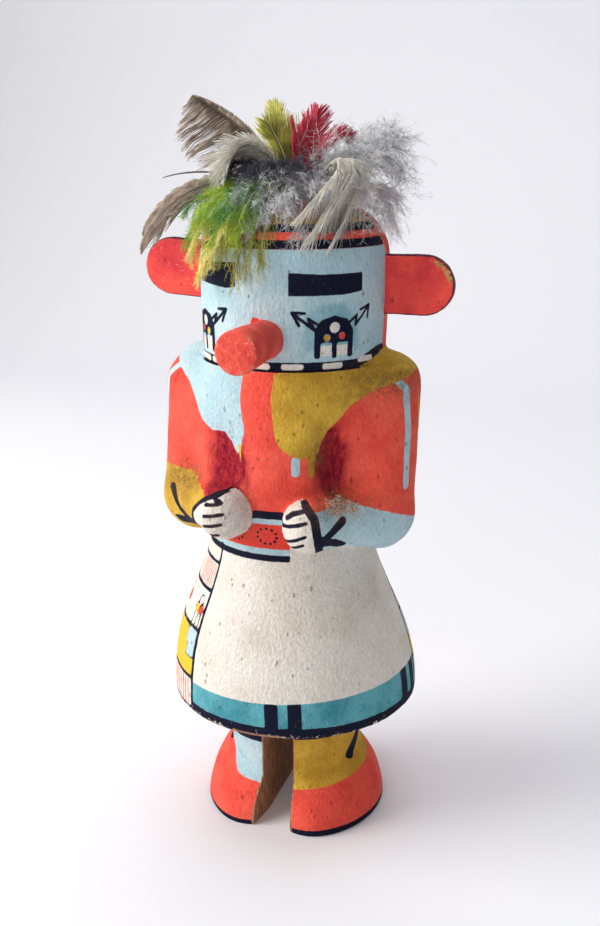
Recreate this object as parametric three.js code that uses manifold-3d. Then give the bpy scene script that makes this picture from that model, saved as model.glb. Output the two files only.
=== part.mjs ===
// A carved and painted standing doll with a tube snout, paddle ears and a crest of loose feathers.
// Millimetres, +Z up. The doll faces -Y and its own left hand is towards +X.
// The figure is one piece of root wood; the snout and ears are glued on, and each feather is stuck
// by its quill in a hole drilled in the crown.
import * as THREE from "three";
import { mergeVertices } from "three/addons/utils/BufferGeometryUtils.js";
import Module from "manifold-3d";

// Feet and legs
const footRadius = 33.6; // both feet together, at the ground
const heelHeight = 24; // where a foot's sides and heel meet the leg
const instepHeight = 15.5; // where the foot's front meets the leg
const instepSharpness = 1.5; // above 1, the low instep keeps to the front
const toeParting = 7; // how far the inner toe corners are rounded back
const partingSpread = 20; // degrees round from the middle
const soleEdge = 0.5; // rounding under the soles
const legWidth = 24.6; // both legs together, from the middle to the outside
const legDepth = 21.2; // from the middle to the front
const legGap = 10.6; // saw cut between the legs
const legGapAtToes = 16.5;
const gapWidensAt = 17; // in front of the middle, where the cut starts to widen
const sawKerfEnd = 1.4; // how far the cut runs up into the kilt

// Kilt, waist and chest
const hemHeight = 47;
const hemRadius = 44.8;
const hemRounding = 1.8;
const flareLateness = 1.25; // above 1, the kilt widens lower down
const waistHeight = 111;
const waistRadius = 28.8;
const chestRadius = 34.6;
const chestHeight = 150; // where the chest is fullest
const chestEase = 0.6; // share of the change in radius that is done
const ribShare = 0.35; // this share of the way up from the waist
const neckShare = 0.7; // and this share of the way up to the chin
const gougeDepth = 3.4; // rough hollows between chest and arms
const gougeHeight = 142;
const gougeReach = 11; // half of a hollow's height
const gougeSpread = 13; // half of its width, in degrees
const gougeBearings = [45, -25]; // degrees from the front, towards the left hand

// Arms, carved against the body
const shoulderRise = 3.5; // the tops of the shoulders above the chin
const shoulderSpread = 32; // an arm's middle line from the body's middle
const upperArmRadius = 13.8;
const elbowHeight = 119.5;
const elbowSpread = 33;
const elbowForward = 5.5;
const elbowRadius = 12.6;
const wristRadius = 8.2;
const handRadius = 8.9;
const handHeight = { left: 120.5, right: 123 };
const handBearing = { left: 28, right: 19 }; // degrees from the front, to each side
const handReach = 36.4; // a hand's middle from the body's middle
const wristShare = 0.3; // share of the way from the hand's middle to the elbow
const elbowBlend = 3;
const wristBlend = 2;
const shoulderBlend = 10; // how softly an arm runs into the body at the shoulder
const handBlend = 3; // and at the hands
const bodyLean = 1.5; // the waist and chest stand this far towards the right hand
const leanStart = 0.6; // share of the kilt's height over which the lean comes in

// Head
const chinHeight = 171;
const headRadius = 31.9;
const headHeight = 52; // from the chin to the top of the crown
const crownRounding = 20; // how far in from the side the crown starts to round over
const crownRise = 18; // and how far below the top
const chinTaper = 0.8;
const chinTaperShare = 0.4; // of the head's height
const crownHoleRadius = { bottom: 4.2, top: 5.8 };
const crownHoleDepth = 7;
const crownTop = chinHeight + headHeight;
const shoulderHeight = chinHeight + shoulderRise;

// Snout and ears, glued to the head
const glueGap = 0.3;
const snoutRadius = 6.9;
const snoutLength = 25;
const snoutRise = 10.3; // its middle above the chin
const snoutBearing = 0.7;
const snoutEdge = 0.9; // worn rounding of its front rim
const earLength = 23; // from the side of the head
const earBlankEnd = 8; // how far the uncut blank reaches in past the side of the head
const earWidth = 19.6;
const earThickness = 4;
const earBevel = 0.6;
const earDrop = { left: 26.4, right: 23.7 }; // an ear's middle below the top of the crown
const earTilt = { left: 0, right: 4 }; // degrees, outer end up

// Feathers
const quillWidth = 0.9;
const quillFlatness = 0.6;
const quillSeat = 0.8; // quills stand this far above the bottom of the crown's hole
const quillRing = crownHoleRadius.bottom - quillWidth - 0.3; // and this far from its middle
const quillRise = 5; // a quill runs straight up this far above the crown, and then
const archShare = 0.35; // this share of its arch
const archLift = 4;
const bladeStart = 0.26; // share of a feather's length that is bare quill
const bladeLead = 0.8; // below 1, a blade is widest nearer its base
const bladeFullness = 0.7; // below 1, its ends are blunter
const rollStart = 0.15; // shares of the length between which a blade rolls over
const rollEnd = 0.45;
const outwardShare = 0.62; // share of its reach that a feather has covered at the top of its arch

// How finely the carving is faceted
const around = 54;
const frontCrowding = 0.17; // draws the facets together round the front, where the hands are
const ringStep = { foot: 3.2, leg: 16, hem: 0.8, kilt: 5.4, hands: 1.9, chest: 4.3, jaw: 2.2, head: 11 };
const crownRings = 7;
const featherStations = 9;
const featherSides = 6;
const hairline = 0.02;

const lerp = THREE.MathUtils.lerp;
const clamp01 = (t) => THREE.MathUtils.clamp(t, 0, 1);
const rad = THREE.MathUtils.degToRad;

// Bearings turn from the doll's front towards its left hand.
function atBearing(degrees, reach, z) {
  return new THREE.Vector3(reach * Math.sin(rad(degrees)), -reach * Math.cos(rad(degrees)), z);
}

// Reads a smooth curve through [z, radius] pairs, without overshoot.
function throughPoints(points, z) {
  const last = points.length - 1;
  if (z <= points[0][0]) return points[0][1];
  if (z >= points[last][0]) return points[last][1];
  const i = points.findIndex((p) => p[0] > z) - 1;
  const slope = (k) => (points[k + 1][1] - points[k][1]) / (points[k + 1][0] - points[k][0]);
  const tangent = (k) => {
    if (k === 0 || k === last) return slope(Math.min(k, last - 1));
    const [before, after] = [slope(k - 1), slope(k)];
    return before * after <= 0 ? 0 : (2 * before * after) / (before + after);
  };
  const width = points[i + 1][0] - points[i][0];
  const t = (z - points[i][0]) / width;
  const [t2, t3] = [t * t, t * t * t];
  return (
    points[i][1] * (2 * t3 - 3 * t2 + 1) +
    points[i + 1][1] * (3 * t2 - 2 * t3) +
    width * (tangent(i) * (t3 - 2 * t2 + t) + tangent(i + 1) * (t3 - t2))
  );
}

// Radius of both legs and feet together. The feet spread from the legs like a dome that is lower at the
// toes than at the heels, and the toes are rounded back beside the saw cut.
function legForm(z, bearing) {
  const turn = rad(bearing);
  const leg = 1 / Math.hypot(Math.sin(turn) / legWidth, Math.cos(turn) / legDepth);
  const frontness = Math.max(0, Math.cos(turn)) ** instepSharpness;
  const up = clamp01(z / lerp(heelHeight, instepHeight, frontness));
  const parting = toeParting * Math.exp(-((bearing / partingSpread) ** 2));
  const sole = soleEdge * clamp01(1 - z / (2 * soleEdge));
  return lerp(leg, footRadius - parting, 1 - up * up) - sole;
}

// The kilt flares from the waist and hangs almost straight at the hem.
function kiltForm(z) {
  const up = clamp01((z - hemHeight) / (waistHeight - hemHeight));
  const flare = 0.5 + 0.5 * Math.cos(Math.PI * up ** flareLateness);
  const edge = clamp01((z - hemHeight) / hemRounding);
  const rounding = hemRounding * (1 - Math.sqrt(1 - (1 - edge) ** 2));
  return lerp(waistRadius, hemRadius, flare) - rounding;
}

// The chest fills out above the waist and has a rough hollow beside each arm.
function chestForm(z, bearing) {
  const bare = throughPoints(
    [
      [waistHeight, waistRadius],
      [lerp(waistHeight, chestHeight, ribShare), lerp(waistRadius, chestRadius, chestEase)],
      [chestHeight, chestRadius],
      [lerp(chestHeight, chinHeight, neckShare), lerp(headRadius, chestRadius, chestEase)],
      [chinHeight, headRadius],
    ],
    z,
  );
  const hollows = gougeBearings.map((middle) =>
    Math.exp(-(((bearing - middle) / gougeSpread) ** 2) - ((z - gougeHeight) / gougeReach) ** 2),
  );
  return bare - gougeDepth * (hollows[0] + hollows[1]);
}

// A plain drum with a rounded crown.
function headForm(z) {
  const into = clamp01((z - (crownTop - crownRise)) / crownRise);
  const flatTop = headRadius - crownRounding;
  const dome = flatTop + crownRounding * Math.sqrt(1 - into * into);
  const chin = chinTaper * (1 - clamp01((z - chinHeight) / (headHeight * chinTaperShare)));
  return dome - chin;
}

function trunkForm(z, bearing) {
  if (z < hemHeight) return legForm(z, bearing);
  if (z < waistHeight) return kiltForm(z);
  if (z < chinHeight) return chestForm(z, bearing);
  return headForm(z);
}

// Distance from p to a rounded rod between two points, tapering from one radius to the other.
function rodDistance(p, from, to, fromRadius, toRadius) {
  const axis = to.clone().sub(from);
  const t = clamp01(p.clone().sub(from).dot(axis) / axis.lengthSq());
  return p.distanceTo(from.clone().addScaledVector(axis, t)) - lerp(fromRadius, toRadius, t);
}

function softUnion(a, b, softness) {
  const h = clamp01(0.5 + (0.5 * (b - a)) / softness);
  return lerp(b, a, h) - softness * h * (1 - h);
}

// Distance to one arm: upper arm, forearm and closed hand.
function armDistance(p, side) {
  const sign = side === "left" ? 1 : -1;
  const shoulder = new THREE.Vector3(sign * shoulderSpread, 0, shoulderHeight - upperArmRadius);
  const elbow = new THREE.Vector3(sign * elbowSpread, -elbowForward, elbowHeight);
  const hand = atBearing(sign * handBearing[side], handReach, handHeight[side]);
  const wrist = hand.clone().lerp(elbow, wristShare);
  const upper = rodDistance(p, shoulder, elbow, upperArmRadius, elbowRadius);
  const fore = rodDistance(p, elbow, wrist, elbowRadius, wristRadius);
  const fist = rodDistance(p, wrist, hand, wristRadius, handRadius);
  return softUnion(softUnion(upper, fore, elbowBlend), fist, wristBlend);
}

// The carving's outermost radius at a height and bearing, found from outside inwards.
function carvedRadius(z, bearing) {
  const trunk = trunkForm(z, bearing);
  const besideArms = z > elbowHeight - elbowRadius - handBlend && z < shoulderHeight + shoulderBlend;
  if (!besideArms) return trunk;
  const aboveHands = THREE.MathUtils.smoothstep(z, handHeight.right + handRadius, chestHeight);
  const softness = lerp(handBlend, shoulderBlend, aboveHands);
  const [mostSteps, caution] = [60, 0.8];
  let radius = elbowSpread + elbowRadius + handRadius;
  for (let step = 0; step < mostSteps; step++) {
    const p = atBearing(bearing, radius, z);
    const arms = Math.min(armDistance(p, "left"), armDistance(p, "right"));
    const gap = softUnion(arms, radius - trunk, softness);
    if (gap < hairline / 2) break;
    radius -= caution * gap;
  }
  return radius;
}

// The body's middle line: straight up from the feet, and a little aside between kilt and head.
function middleLine(z) {
  const leaving = THREE.MathUtils.smoothstep(z, hemHeight, lerp(hemHeight, waistHeight, leanStart));
  const returning = 1 - THREE.MathUtils.smoothstep(z, (chestHeight + chinHeight) / 2, chinHeight);
  return new THREE.Vector3(-bodyLean * Math.min(leaving, returning), 0, 0);
}

// Heights of the carving's rings: close together at the feet, the hem, the arms and the crown.
function ringHeights() {
  const heights = [hemHeight - hairline, chinHeight - hairline, crownTop];
  const evenly = (low, high, step) => {
    const count = Math.max(2, Math.round((high - low) / step));
    for (let i = 0; i < count; i++) heights.push(lerp(low, high, i / count));
  };
  const belowElbows = elbowHeight - elbowRadius - handBlend;
  const aboveHands = handHeight.right + handRadius + handBlend;
  const aboveShoulders = shoulderHeight + shoulderBlend / 2;
  evenly(0, 2 * soleEdge, soleEdge);
  evenly(2 * soleEdge, heelHeight, ringStep.foot);
  evenly(heelHeight, hemHeight - hairline, ringStep.leg);
  evenly(hemHeight, hemHeight + hemRounding, ringStep.hem);
  evenly(hemHeight + hemRounding, belowElbows, ringStep.kilt);
  evenly(belowElbows, aboveHands, ringStep.hands);
  evenly(aboveHands, chinHeight - hairline, ringStep.chest);
  evenly(chinHeight, aboveShoulders, ringStep.jaw);
  evenly(aboveShoulders, crownTop - crownRise, ringStep.head);
  for (let i = 0; i < crownRings; i++) {
    heights.push(crownTop - crownRise * (1 - Math.sin((Math.PI / 2) * (i / crownRings))));
  }
  const sorted = heights.sort((a, b) => a - b);
  return sorted.filter((z, i) => i === 0 || z - sorted[i - 1] > hairline / 2);
}

// Skins a stack of rings, each with the same number of points, and closes both ends.
function loft(rings) {
  const points = rings.flat();
  const count = rings[0].length;
  const index = [];
  for (let r = 0; r < rings.length - 1; r++)
    for (let i = 0; i < count; i++) {
      const [a, b] = [r * count + i, r * count + ((i + 1) % count)];
      index.push(a, b, b + count, a, b + count, a + count);
    }
  const middle = (ring) => ring.reduce((sum, p) => sum.add(p), new THREE.Vector3()).divideScalar(count);
  const [low, high] = [points.length, points.length + 1];
  points.push(middle(rings[0]), middle(rings[rings.length - 1]));
  const top = (rings.length - 1) * count;
  for (let i = 0; i < count; i++) {
    const next = (i + 1) % count;
    index.push(low, next, i, high, top + i, top + next);
  }
  const geometry = new THREE.BufferGeometry().setFromPoints(points);
  return geometry.setIndex(index);
}

const wasm = await Module();
wasm.setup();

function toSolid(geometry) {
  const bare = geometry.clone();
  bare.deleteAttribute("normal");
  bare.deleteAttribute("uv");
  const merged = mergeVertices(bare, 1e-4);
  return new wasm.Manifold(
    new wasm.Mesh({
      numProp: 3,
      vertProperties: merged.attributes.position.array,
      triVerts: new Uint32Array(merged.index.array),
    }),
  );
}

function toGeometry(solid) {
  const mesh = solid.getMesh();
  const geometry = new THREE.BufferGeometry();
  geometry.setAttribute("position", new THREE.BufferAttribute(mesh.vertProperties, 3));
  geometry.setIndex(new THREE.BufferAttribute(mesh.triVerts, 1));
  geometry.computeVertexNormals();
  return geometry;
}

function paint(color, roughness) {
  return new THREE.MeshStandardMaterial({ color, roughness, metalness: 0 });
}

function named(name, geometry, material) {
  const mesh = new THREE.Mesh(geometry, material);
  mesh.name = name;
  return mesh;
}

// The one-piece figure: carved form, less the saw cut between the legs and the hole in the crown.
function carvedFigure() {
  const rings = ringHeights().map((z) => {
    const ring = [];
    for (let i = 0; i < around; i++) {
      const turn = (2 * i) / around - 1;
      const bearing = 180 * (turn - frontCrowding * Math.sin(Math.PI * turn));
      ring.push(atBearing(bearing, carvedRadius(z, bearing), z).add(middleLine(z)));
    }
    return ring;
  });
  const cutHeight = hemHeight + sawKerfEnd + 1;
  const plan = new THREE.Shape();
  const [narrow, wide, past] = [legGap / 2, legGapAtToes / 2, footRadius + 2];
  plan.moveTo(-narrow, past);
  plan.lineTo(-narrow, -gapWidensAt);
  plan.lineTo(-wide, -past);
  plan.lineTo(wide, -past);
  plan.lineTo(narrow, -gapWidensAt);
  plan.lineTo(narrow, past);
  plan.closePath();
  const cut = new THREE.ExtrudeGeometry(plan, { depth: cutHeight, bevelEnabled: false });
  cut.translate(0, 0, -1);
  const { bottom, top } = crownHoleRadius;
  const hole = new THREE.CylinderGeometry(2 * top - bottom, bottom, crownHoleDepth * 2, 16);
  hole.rotateX(Math.PI / 2).translate(0, 0, crownTop);
  const carved = toSolid(loft(rings)).subtract(toSolid(cut)).subtract(toSolid(hole));
  return named("carved_figure", toGeometry(carved), paint(0xe8503a, 0.75));
}

// A drum slightly larger than the head, which glued pieces are hollowed to fit.
function headSeat() {
  const drum = new THREE.CylinderGeometry(headRadius + glueGap, headRadius + glueGap, headHeight * 2, 96);
  return toSolid(drum.rotateX(Math.PI / 2).translate(0, 0, chinHeight + headHeight / 2));
}

// A round stub with a worn front rim, standing straight out of the face.
function snout() {
  const reach = headRadius + snoutLength;
  const profile = [
    [0, 0],
    [snoutRadius, 0],
    [snoutRadius, reach - snoutEdge],
    [snoutRadius - snoutEdge * 0.3, reach - snoutEdge * 0.3],
    [snoutRadius - snoutEdge, reach],
    [0, reach],
  ].map(([radius, along]) => new THREE.Vector2(radius, along));
  const stub = new THREE.LatheGeometry(profile, 28);
  stub.rotateX(Math.PI).rotateZ(rad(snoutBearing)).translate(0, 0, chinHeight + snoutRise);
  return named("snout", toGeometry(toSolid(stub).subtract(headSeat())), paint(0xd8402f, 0.75));
}

// A flat paddle with a round outer end, tilted about the side of the head.
function ear(side) {
  const half = earWidth / 2 - earBevel;
  const inner = headRadius - earBlankEnd;
  const straight = headRadius + earLength - earWidth / 2;
  const outline = new THREE.Shape();
  outline.moveTo(inner, -half);
  outline.lineTo(straight, -half);
  outline.absarc(straight, 0, half, -Math.PI / 2, Math.PI / 2, false);
  outline.lineTo(inner, half);
  outline.closePath();
  const plate = new THREE.ExtrudeGeometry(outline, {
    depth: earThickness - 2 * earBevel,
    bevelThickness: earBevel,
    bevelSize: earBevel,
    bevelSegments: 1,
    curveSegments: 14,
  });
  plate.translate(-headRadius, 0, -earThickness / 2 + earBevel).rotateX(Math.PI / 2);
  plate.rotateY(-rad(earTilt[side])).translate(headRadius, 0, 0);
  if (side === "right") plate.rotateZ(Math.PI);
  plate.translate(0, 0, crownTop - earDrop[side]);
  return named(`ear_${side}`, toGeometry(toSolid(plate).subtract(headSeat())), paint(0xe0402e, 0.7));
}

// Each feather stands in the crown hole and arches over to its tip on its bearing. Its tip's distance out
// is measured from the crown's middle as reach, or from the head's side as past, and its height from the
// crown as tip. Sway turns the tip's bearing, and roll turns the blade on edge.
const feathers = {
  olive_tall: { bearing: -100, reach: 10, arch: 22, tip: 33, width: 11, thick: 2, roll: 80, color: 0x9a9a34 },
  brown_upper: { bearing: -96, past: 5.1, arch: 26, tip: 34, width: 15, thick: 2, roll: 62, color: 0x8f7a66 },
  dark_spike: { bearing: -90, past: 16.1, arch: 8, tip: 7, width: 1.2, thick: 0.8, color: 0x34313c },
  brown_lower: { bearing: -76, past: 21.1, arch: 11, tip: -12, width: 14, thick: 2, roll: 10, color: 0xa08d7c },
  cream_comb: { bearing: -59, reach: 30, arch: 30, tip: 5, width: 12, thick: 2, roll: 25, color: 0xd9d8cc },
  green_marabou: { bearing: -43, past: 6.1, arch: 14, tip: -6, width: 16, thick: 4, color: 0x62c11c },
  black_fluff: { bearing: -22, reach: 22, arch: 18, tip: 12, width: 10, thick: 3, color: 0x34333d },
  yellow_marabou: { bearing: -34, past: 5.1, arch: 9, tip: -22, width: 9, thick: 3, color: 0xd8c23c },
  olive_marabou: { bearing: -9, past: 5.1, arch: 9, tip: -22, width: 9, thick: 3, color: 0x84852c },
  grey_front: { bearing: 17, past: 0.1, arch: 12, tip: -6, width: 15, thick: 4, color: 0x8b888b },
  red_left: { bearing: 60, reach: 4.5, arch: 18, tip: 28.5, width: 9, thick: 1.4, roll: 10, color: 0xc72b3c },
  cream_curl: {
    ...{ bearing: 84, sway: -57, outward: 1, past: 4.1, arch: 24, tip: -14 },
    ...{ width: 7, thick: 1.6, color: 0xd6c6b2 },
  },
  pale_down: { bearing: 88, past: 3.1, arch: 6, tip: -3, width: 15, thick: 4, color: 0xc9bfc2 },
  grey_down: { bearing: 104, past: 8.1, arch: 23, tip: 21, width: 20, thick: 7, roll: 5, color: 0xb3b2b6 },
  red_right: { bearing: 160, reach: 17, arch: 19, tip: 33, width: 9, thick: 1.4, roll: 20, color: 0xa3243b },
};

// The quills stand side by side round the hole, in the order of the list.
function featherLine(shape, place) {
  const { bearing, past, reach = headRadius + past, arch, tip, sway = 0, outward = outwardShare } = shape;
  const seat = 360 * ((place + 0.5) / Object.keys(feathers).length) - 180;
  return new THREE.CubicBezierCurve3(
    atBearing(seat, quillRing, crownTop - crownHoleDepth + quillSeat),
    atBearing(seat, quillRing, crownTop + quillRise + archShare * arch),
    atBearing(bearing, quillRing + outward * reach, crownTop + archLift + arch),
    atBearing(bearing + sway, reach, crownTop + tip),
  );
}

// A bare quill that opens into a blade, as a row of lens-shaped sections along the feather's line.
function feather([name, shape], place) {
  const line = featherLine(shape, place);
  const sideways = atBearing(shape.bearing + 90, 1, 0);
  const rings = [];
  for (let station = 0; station <= featherStations; station++) {
    const t = station / featherStations;
    const alongBlade = clamp01((t - bladeStart) / (1 - bladeStart));
    const blade = Math.sin(Math.PI * alongBlade ** bladeLead) ** bladeFullness;
    const halfWidth = Math.max(quillWidth, shape.width * blade) / 2;
    const halfThick = Math.max(quillWidth * quillFlatness, shape.thick * blade) / 2;
    const [tangent, middle] = [line.getTangentAt(t), line.getPointAt(t)];
    const turn = rad(shape.roll ?? 0) * clamp01((t - rollStart) / (rollEnd - rollStart));
    const across = sideways.clone().applyAxisAngle(tangent, turn);
    const through = across.clone().cross(tangent);
    const ring = [];
    for (let i = 0; i < featherSides; i++) {
      const angle = (2 * Math.PI * i) / featherSides;
      const point = middle.clone().addScaledVector(across, halfWidth * Math.cos(angle));
      ring.push(point.addScaledVector(through, -halfThick * Math.sin(angle)));
    }
    rings.push(ring);
  }
  return named(`feather_${name}`, toGeometry(toSolid(loft(rings))), paint(shape.color, 0.9));
}

const doll = new THREE.Group();
doll.add(carvedFigure(), snout());
doll.add(ear("left"), ear("right"));
doll.add(...Object.entries(feathers).map(feather));

// The middle of the doll's box, on the ground, is the origin.
const box = new THREE.Box3().setFromObject(doll);
const part = new THREE.Group();
doll.position.set(-(box.min.x + box.max.x) / 2, -(box.min.y + box.max.y) / 2, 0);
part.add(doll);

export default part;
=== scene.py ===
"""The looks of a carved and painted standing doll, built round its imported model.

The carving, its painted marks and the crest of feathers are worked out in millimetres, with the doll
facing -Y and its own left hand towards +X, and written into meshes in metres.
"""

import math

import bpy
import numpy as np
from bpy.props import FloatProperty, FloatVectorProperty, PointerProperty
from mathutils import Matrix, Vector


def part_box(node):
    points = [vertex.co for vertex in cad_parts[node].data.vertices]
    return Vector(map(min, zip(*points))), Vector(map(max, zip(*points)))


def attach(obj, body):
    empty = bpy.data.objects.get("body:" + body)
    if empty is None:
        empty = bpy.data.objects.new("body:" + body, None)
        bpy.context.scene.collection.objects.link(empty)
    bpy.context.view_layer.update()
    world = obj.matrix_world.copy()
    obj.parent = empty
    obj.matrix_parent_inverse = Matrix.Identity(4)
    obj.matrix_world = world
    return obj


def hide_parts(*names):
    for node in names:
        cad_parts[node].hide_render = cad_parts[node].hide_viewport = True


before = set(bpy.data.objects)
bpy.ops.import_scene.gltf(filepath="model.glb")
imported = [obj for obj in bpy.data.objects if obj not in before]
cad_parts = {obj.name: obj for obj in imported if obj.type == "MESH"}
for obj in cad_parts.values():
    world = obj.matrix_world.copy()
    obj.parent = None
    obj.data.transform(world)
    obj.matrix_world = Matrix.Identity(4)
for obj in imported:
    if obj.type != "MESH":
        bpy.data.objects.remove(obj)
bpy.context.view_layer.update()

bl_info = {
    "name": "Carved Doll",
    "version": (1, 0, 0),
    "blender": (4, 5, 0),
    "location": "View3D > Sidebar > Doll",
    "description": "Builds a carved and painted doll with a crest of feathers",
    "category": "Object",
}

MM = 0.001

# Feet and legs
FOOT_RADIUS = 33.6
HEEL_HEIGHT = 24.0
INSTEP_HEIGHT = 15.5
INSTEP_SHARPNESS = 1.5
TOE_PARTING = 7.0
PARTING_SPREAD = 20.0
SOLE_EDGE = 0.5
LEG_WIDTH = 24.6
LEG_DEPTH = 21.2
LEG_GAP = 10.6
LEG_GAP_AT_TOES = 16.5
GAP_WIDENS_AT = 17.0
SAW_KERF_END = 1.4

# Kilt, waist and chest
HEM_HEIGHT = 47.0
HEM_RADIUS = 44.8
HEM_ROUNDING = 1.8
FLARE_LATENESS = 1.25
WAIST_HEIGHT = 111.0
WAIST_RADIUS = 28.8
CHEST_RADIUS = 34.6
CHEST_HEIGHT = 150.0
CHEST_EASE = 0.6
RIB_SHARE = 0.35
NECK_SHARE = 0.7
GOUGE_DEPTH = 3.4
GOUGE_HEIGHT = 142.0
GOUGE_REACH = 11.0
GOUGE_SPREAD = 13.0
GOUGE_BEARINGS = (45.0, -25.0)

# Arms
SHOULDER_HEIGHT = 174.5
SHOULDER_SPREAD = 32.0
UPPER_ARM_RADIUS = 13.8
ELBOW_HEIGHT = 119.5
ELBOW_SPREAD = 33.0
ELBOW_FORWARD = 5.5
ELBOW_RADIUS = 12.6
WRIST_RADIUS = 8.2
HAND_RADIUS = 8.9
HAND_HEIGHT = {"left": 120.5, "right": 123.0}
HAND_BEARING = {"left": 28.0, "right": 19.0}
HAND_REACH = 36.4
WRIST_SHARE = 0.3
ELBOW_BLEND = 3.0
WRIST_BLEND = 2.0
SHOULDER_BLEND = 10.0
HAND_BLEND = 3.0
NECK_BLEND = 3.0
BODY_LEAN = 1.5
LEAN_START = 0.6

# Head, snout and ears
CHIN_HEIGHT = 171.0
HEAD_RADIUS = 31.9
HEAD_HEIGHT = 52.0
CROWN_ROUNDING = 20.0
CROWN_RISE = 18.0
CHIN_TAPER = 0.8
CHIN_TAPER_SHARE = 0.4
CROWN_TOP = CHIN_HEIGHT + HEAD_HEIGHT
CROWN_HOLE = {"bottom": 4.2, "top": 5.8, "depth": 7.0}
SNOUT_RADIUS = 6.9
SNOUT_LENGTH = 25.0
SNOUT_HEIGHT = 181.3
SNOUT_BEARING = 0.7
SNOUT_EDGE = 0.9  # worn rounding of its front rim
EAR_LENGTH = 23.0
EAR_WIDTH = 19.6
EAR_THICKNESS = 4.0
EAR_HEIGHT = {"left": 196.6, "right": 199.3}
EAR_TILT = {"left": 0.0, "right": 4.0}

# How finely the carving is meshed
COLUMNS = 280
FRONT_BEARING = 15.0  # the columns crowd together round this bearing
CROWDING = 0.12
HAIRLINE = 0.02

# The doll's middle line on the ground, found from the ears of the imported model
EAR_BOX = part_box("ear_left")
MIDDLE = np.array([EAR_BOX[1].x / MM - HEAD_RADIUS - EAR_LENGTH, (EAR_BOX[0].y + EAR_BOX[1].y) / 2 / MM, 0.0])


# Arithmetic on arrays


def clamp01(t):
    return np.clip(t, 0.0, 1.0)


def between(a, b, t):
    return a + (b - a) * t


def ease(x, low, high):
    t = clamp01((x - low) / (high - low))
    return t * t * (3 - 2 * t)


def hill(x, middle, spread):
    return np.exp(-(((x - middle) / spread) ** 2))


def turned(a, b, angle):
    """A point in a plane turned about its origin by an angle in degrees."""
    turn = math.radians(angle)
    return a * math.cos(turn) - b * math.sin(turn), a * math.sin(turn) + b * math.cos(turn)


def at_bearing(bearing, reach, z):
    """Points at a bearing in degrees from the doll's front, turning towards its left hand."""
    turn = np.radians(bearing)
    parts = np.broadcast_arrays(reach * np.sin(turn), -reach * np.cos(turn), z)
    return np.stack(parts, axis=-1)


def through_points(points, z):
    """A smooth curve through (z, radius) pairs, without overshoot."""
    heights, radii = np.array(points).T
    slopes = np.diff(radii) / np.diff(heights)
    tangents = np.concatenate([slopes[:1], np.zeros(len(slopes) - 1), slopes[-1:]])
    for k, (before, after) in enumerate(zip(slopes, slopes[1:]), start=1):
        if before * after > 0:
            tangents[k] = 2 * before * after / (before + after)
    z = np.clip(z, heights[0], heights[-1])
    i = np.clip(np.searchsorted(heights, z, side="right") - 1, 0, len(slopes) - 1)
    width = heights[i + 1] - heights[i]
    t = (z - heights[i]) / width
    t2, t3 = t * t, t * t * t
    level = radii[i] * (2 * t3 - 3 * t2 + 1) + radii[i + 1] * (3 * t2 - 2 * t3)
    return level + width * (tangents[i] * (t3 - 2 * t2 + t) + tangents[i + 1] * (t3 - t2))


def noise(points, size, seed):
    """Smooth noise from -1 to 1 whose bumps are about size millimetres apart."""
    cells = points / np.asarray(size, float)
    low = np.floor(cells).astype(np.int64)
    part = cells - low
    part = part * part * (3 - 2 * part)
    total = np.zeros(len(points))
    for corner in np.ndindex(2, 2, 2):
        cell = low + corner
        mixed = cell[:, 0] * 73856093 ^ cell[:, 1] * 19349663 ^ cell[:, 2] * 83492791 ^ seed * 9176
        mixed = (mixed ^ (mixed >> 13)) * 1274126177 & 0x7FFFFFFF
        mixed = (mixed ^ (mixed >> 11)) * 668265263 & 0x7FFFFFFF
        weight = np.prod(np.where(corner, part, 1 - part), axis=1)
        total += weight * (mixed / 0x3FFFFFFF - 1)
    return total


# The carving's form


def leg_form(z, bearing):
    """Radius of both legs and feet together, lower at the toes than at the heels."""
    turn = np.radians(bearing)
    leg = 1 / np.hypot(np.sin(turn) / LEG_WIDTH, np.cos(turn) / LEG_DEPTH)
    frontness = np.maximum(0, np.cos(turn)) ** INSTEP_SHARPNESS
    up = clamp01(z / between(HEEL_HEIGHT, INSTEP_HEIGHT, frontness))
    parting = TOE_PARTING * hill(bearing, 0, PARTING_SPREAD)
    sole = SOLE_EDGE * clamp01(1 - z / (2 * SOLE_EDGE))
    return between(leg, FOOT_RADIUS - parting, 1 - up * up) - sole


def kilt_form(z):
    up = clamp01((z - HEM_HEIGHT) / (WAIST_HEIGHT - HEM_HEIGHT))
    flare = 0.5 + 0.5 * np.cos(np.pi * up**FLARE_LATENESS)
    edge = clamp01((z - HEM_HEIGHT) / HEM_ROUNDING)
    rounding = HEM_ROUNDING * (1 - np.sqrt(1 - (1 - edge) ** 2))
    return between(WAIST_RADIUS, HEM_RADIUS, flare) - rounding


def chest_form(z, bearing):
    waist = (WAIST_HEIGHT, WAIST_RADIUS)
    chest = (CHEST_HEIGHT, CHEST_RADIUS)
    chin = (CHIN_HEIGHT, HEAD_RADIUS)
    rib = between(waist[0], chest[0], RIB_SHARE), between(waist[1], chest[1], CHEST_EASE)
    neck = between(chest[0], chin[0], NECK_SHARE), between(chin[1], chest[1], CHEST_EASE)
    form = through_points([waist, rib, chest, neck, chin], z)
    for middle in GOUGE_BEARINGS:
        form = form - GOUGE_DEPTH * hill(bearing, middle, GOUGE_SPREAD) * hill(z, GOUGE_HEIGHT, GOUGE_REACH)
    return form


def head_form(z):
    into = clamp01((z - (CROWN_TOP - CROWN_RISE)) / CROWN_RISE)
    dome = HEAD_RADIUS - CROWN_ROUNDING * (1 - np.sqrt(1 - into * into))
    return dome - CHIN_TAPER * (1 - clamp01((z - CHIN_HEIGHT) / (HEAD_HEIGHT * CHIN_TAPER_SHARE)))


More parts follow.
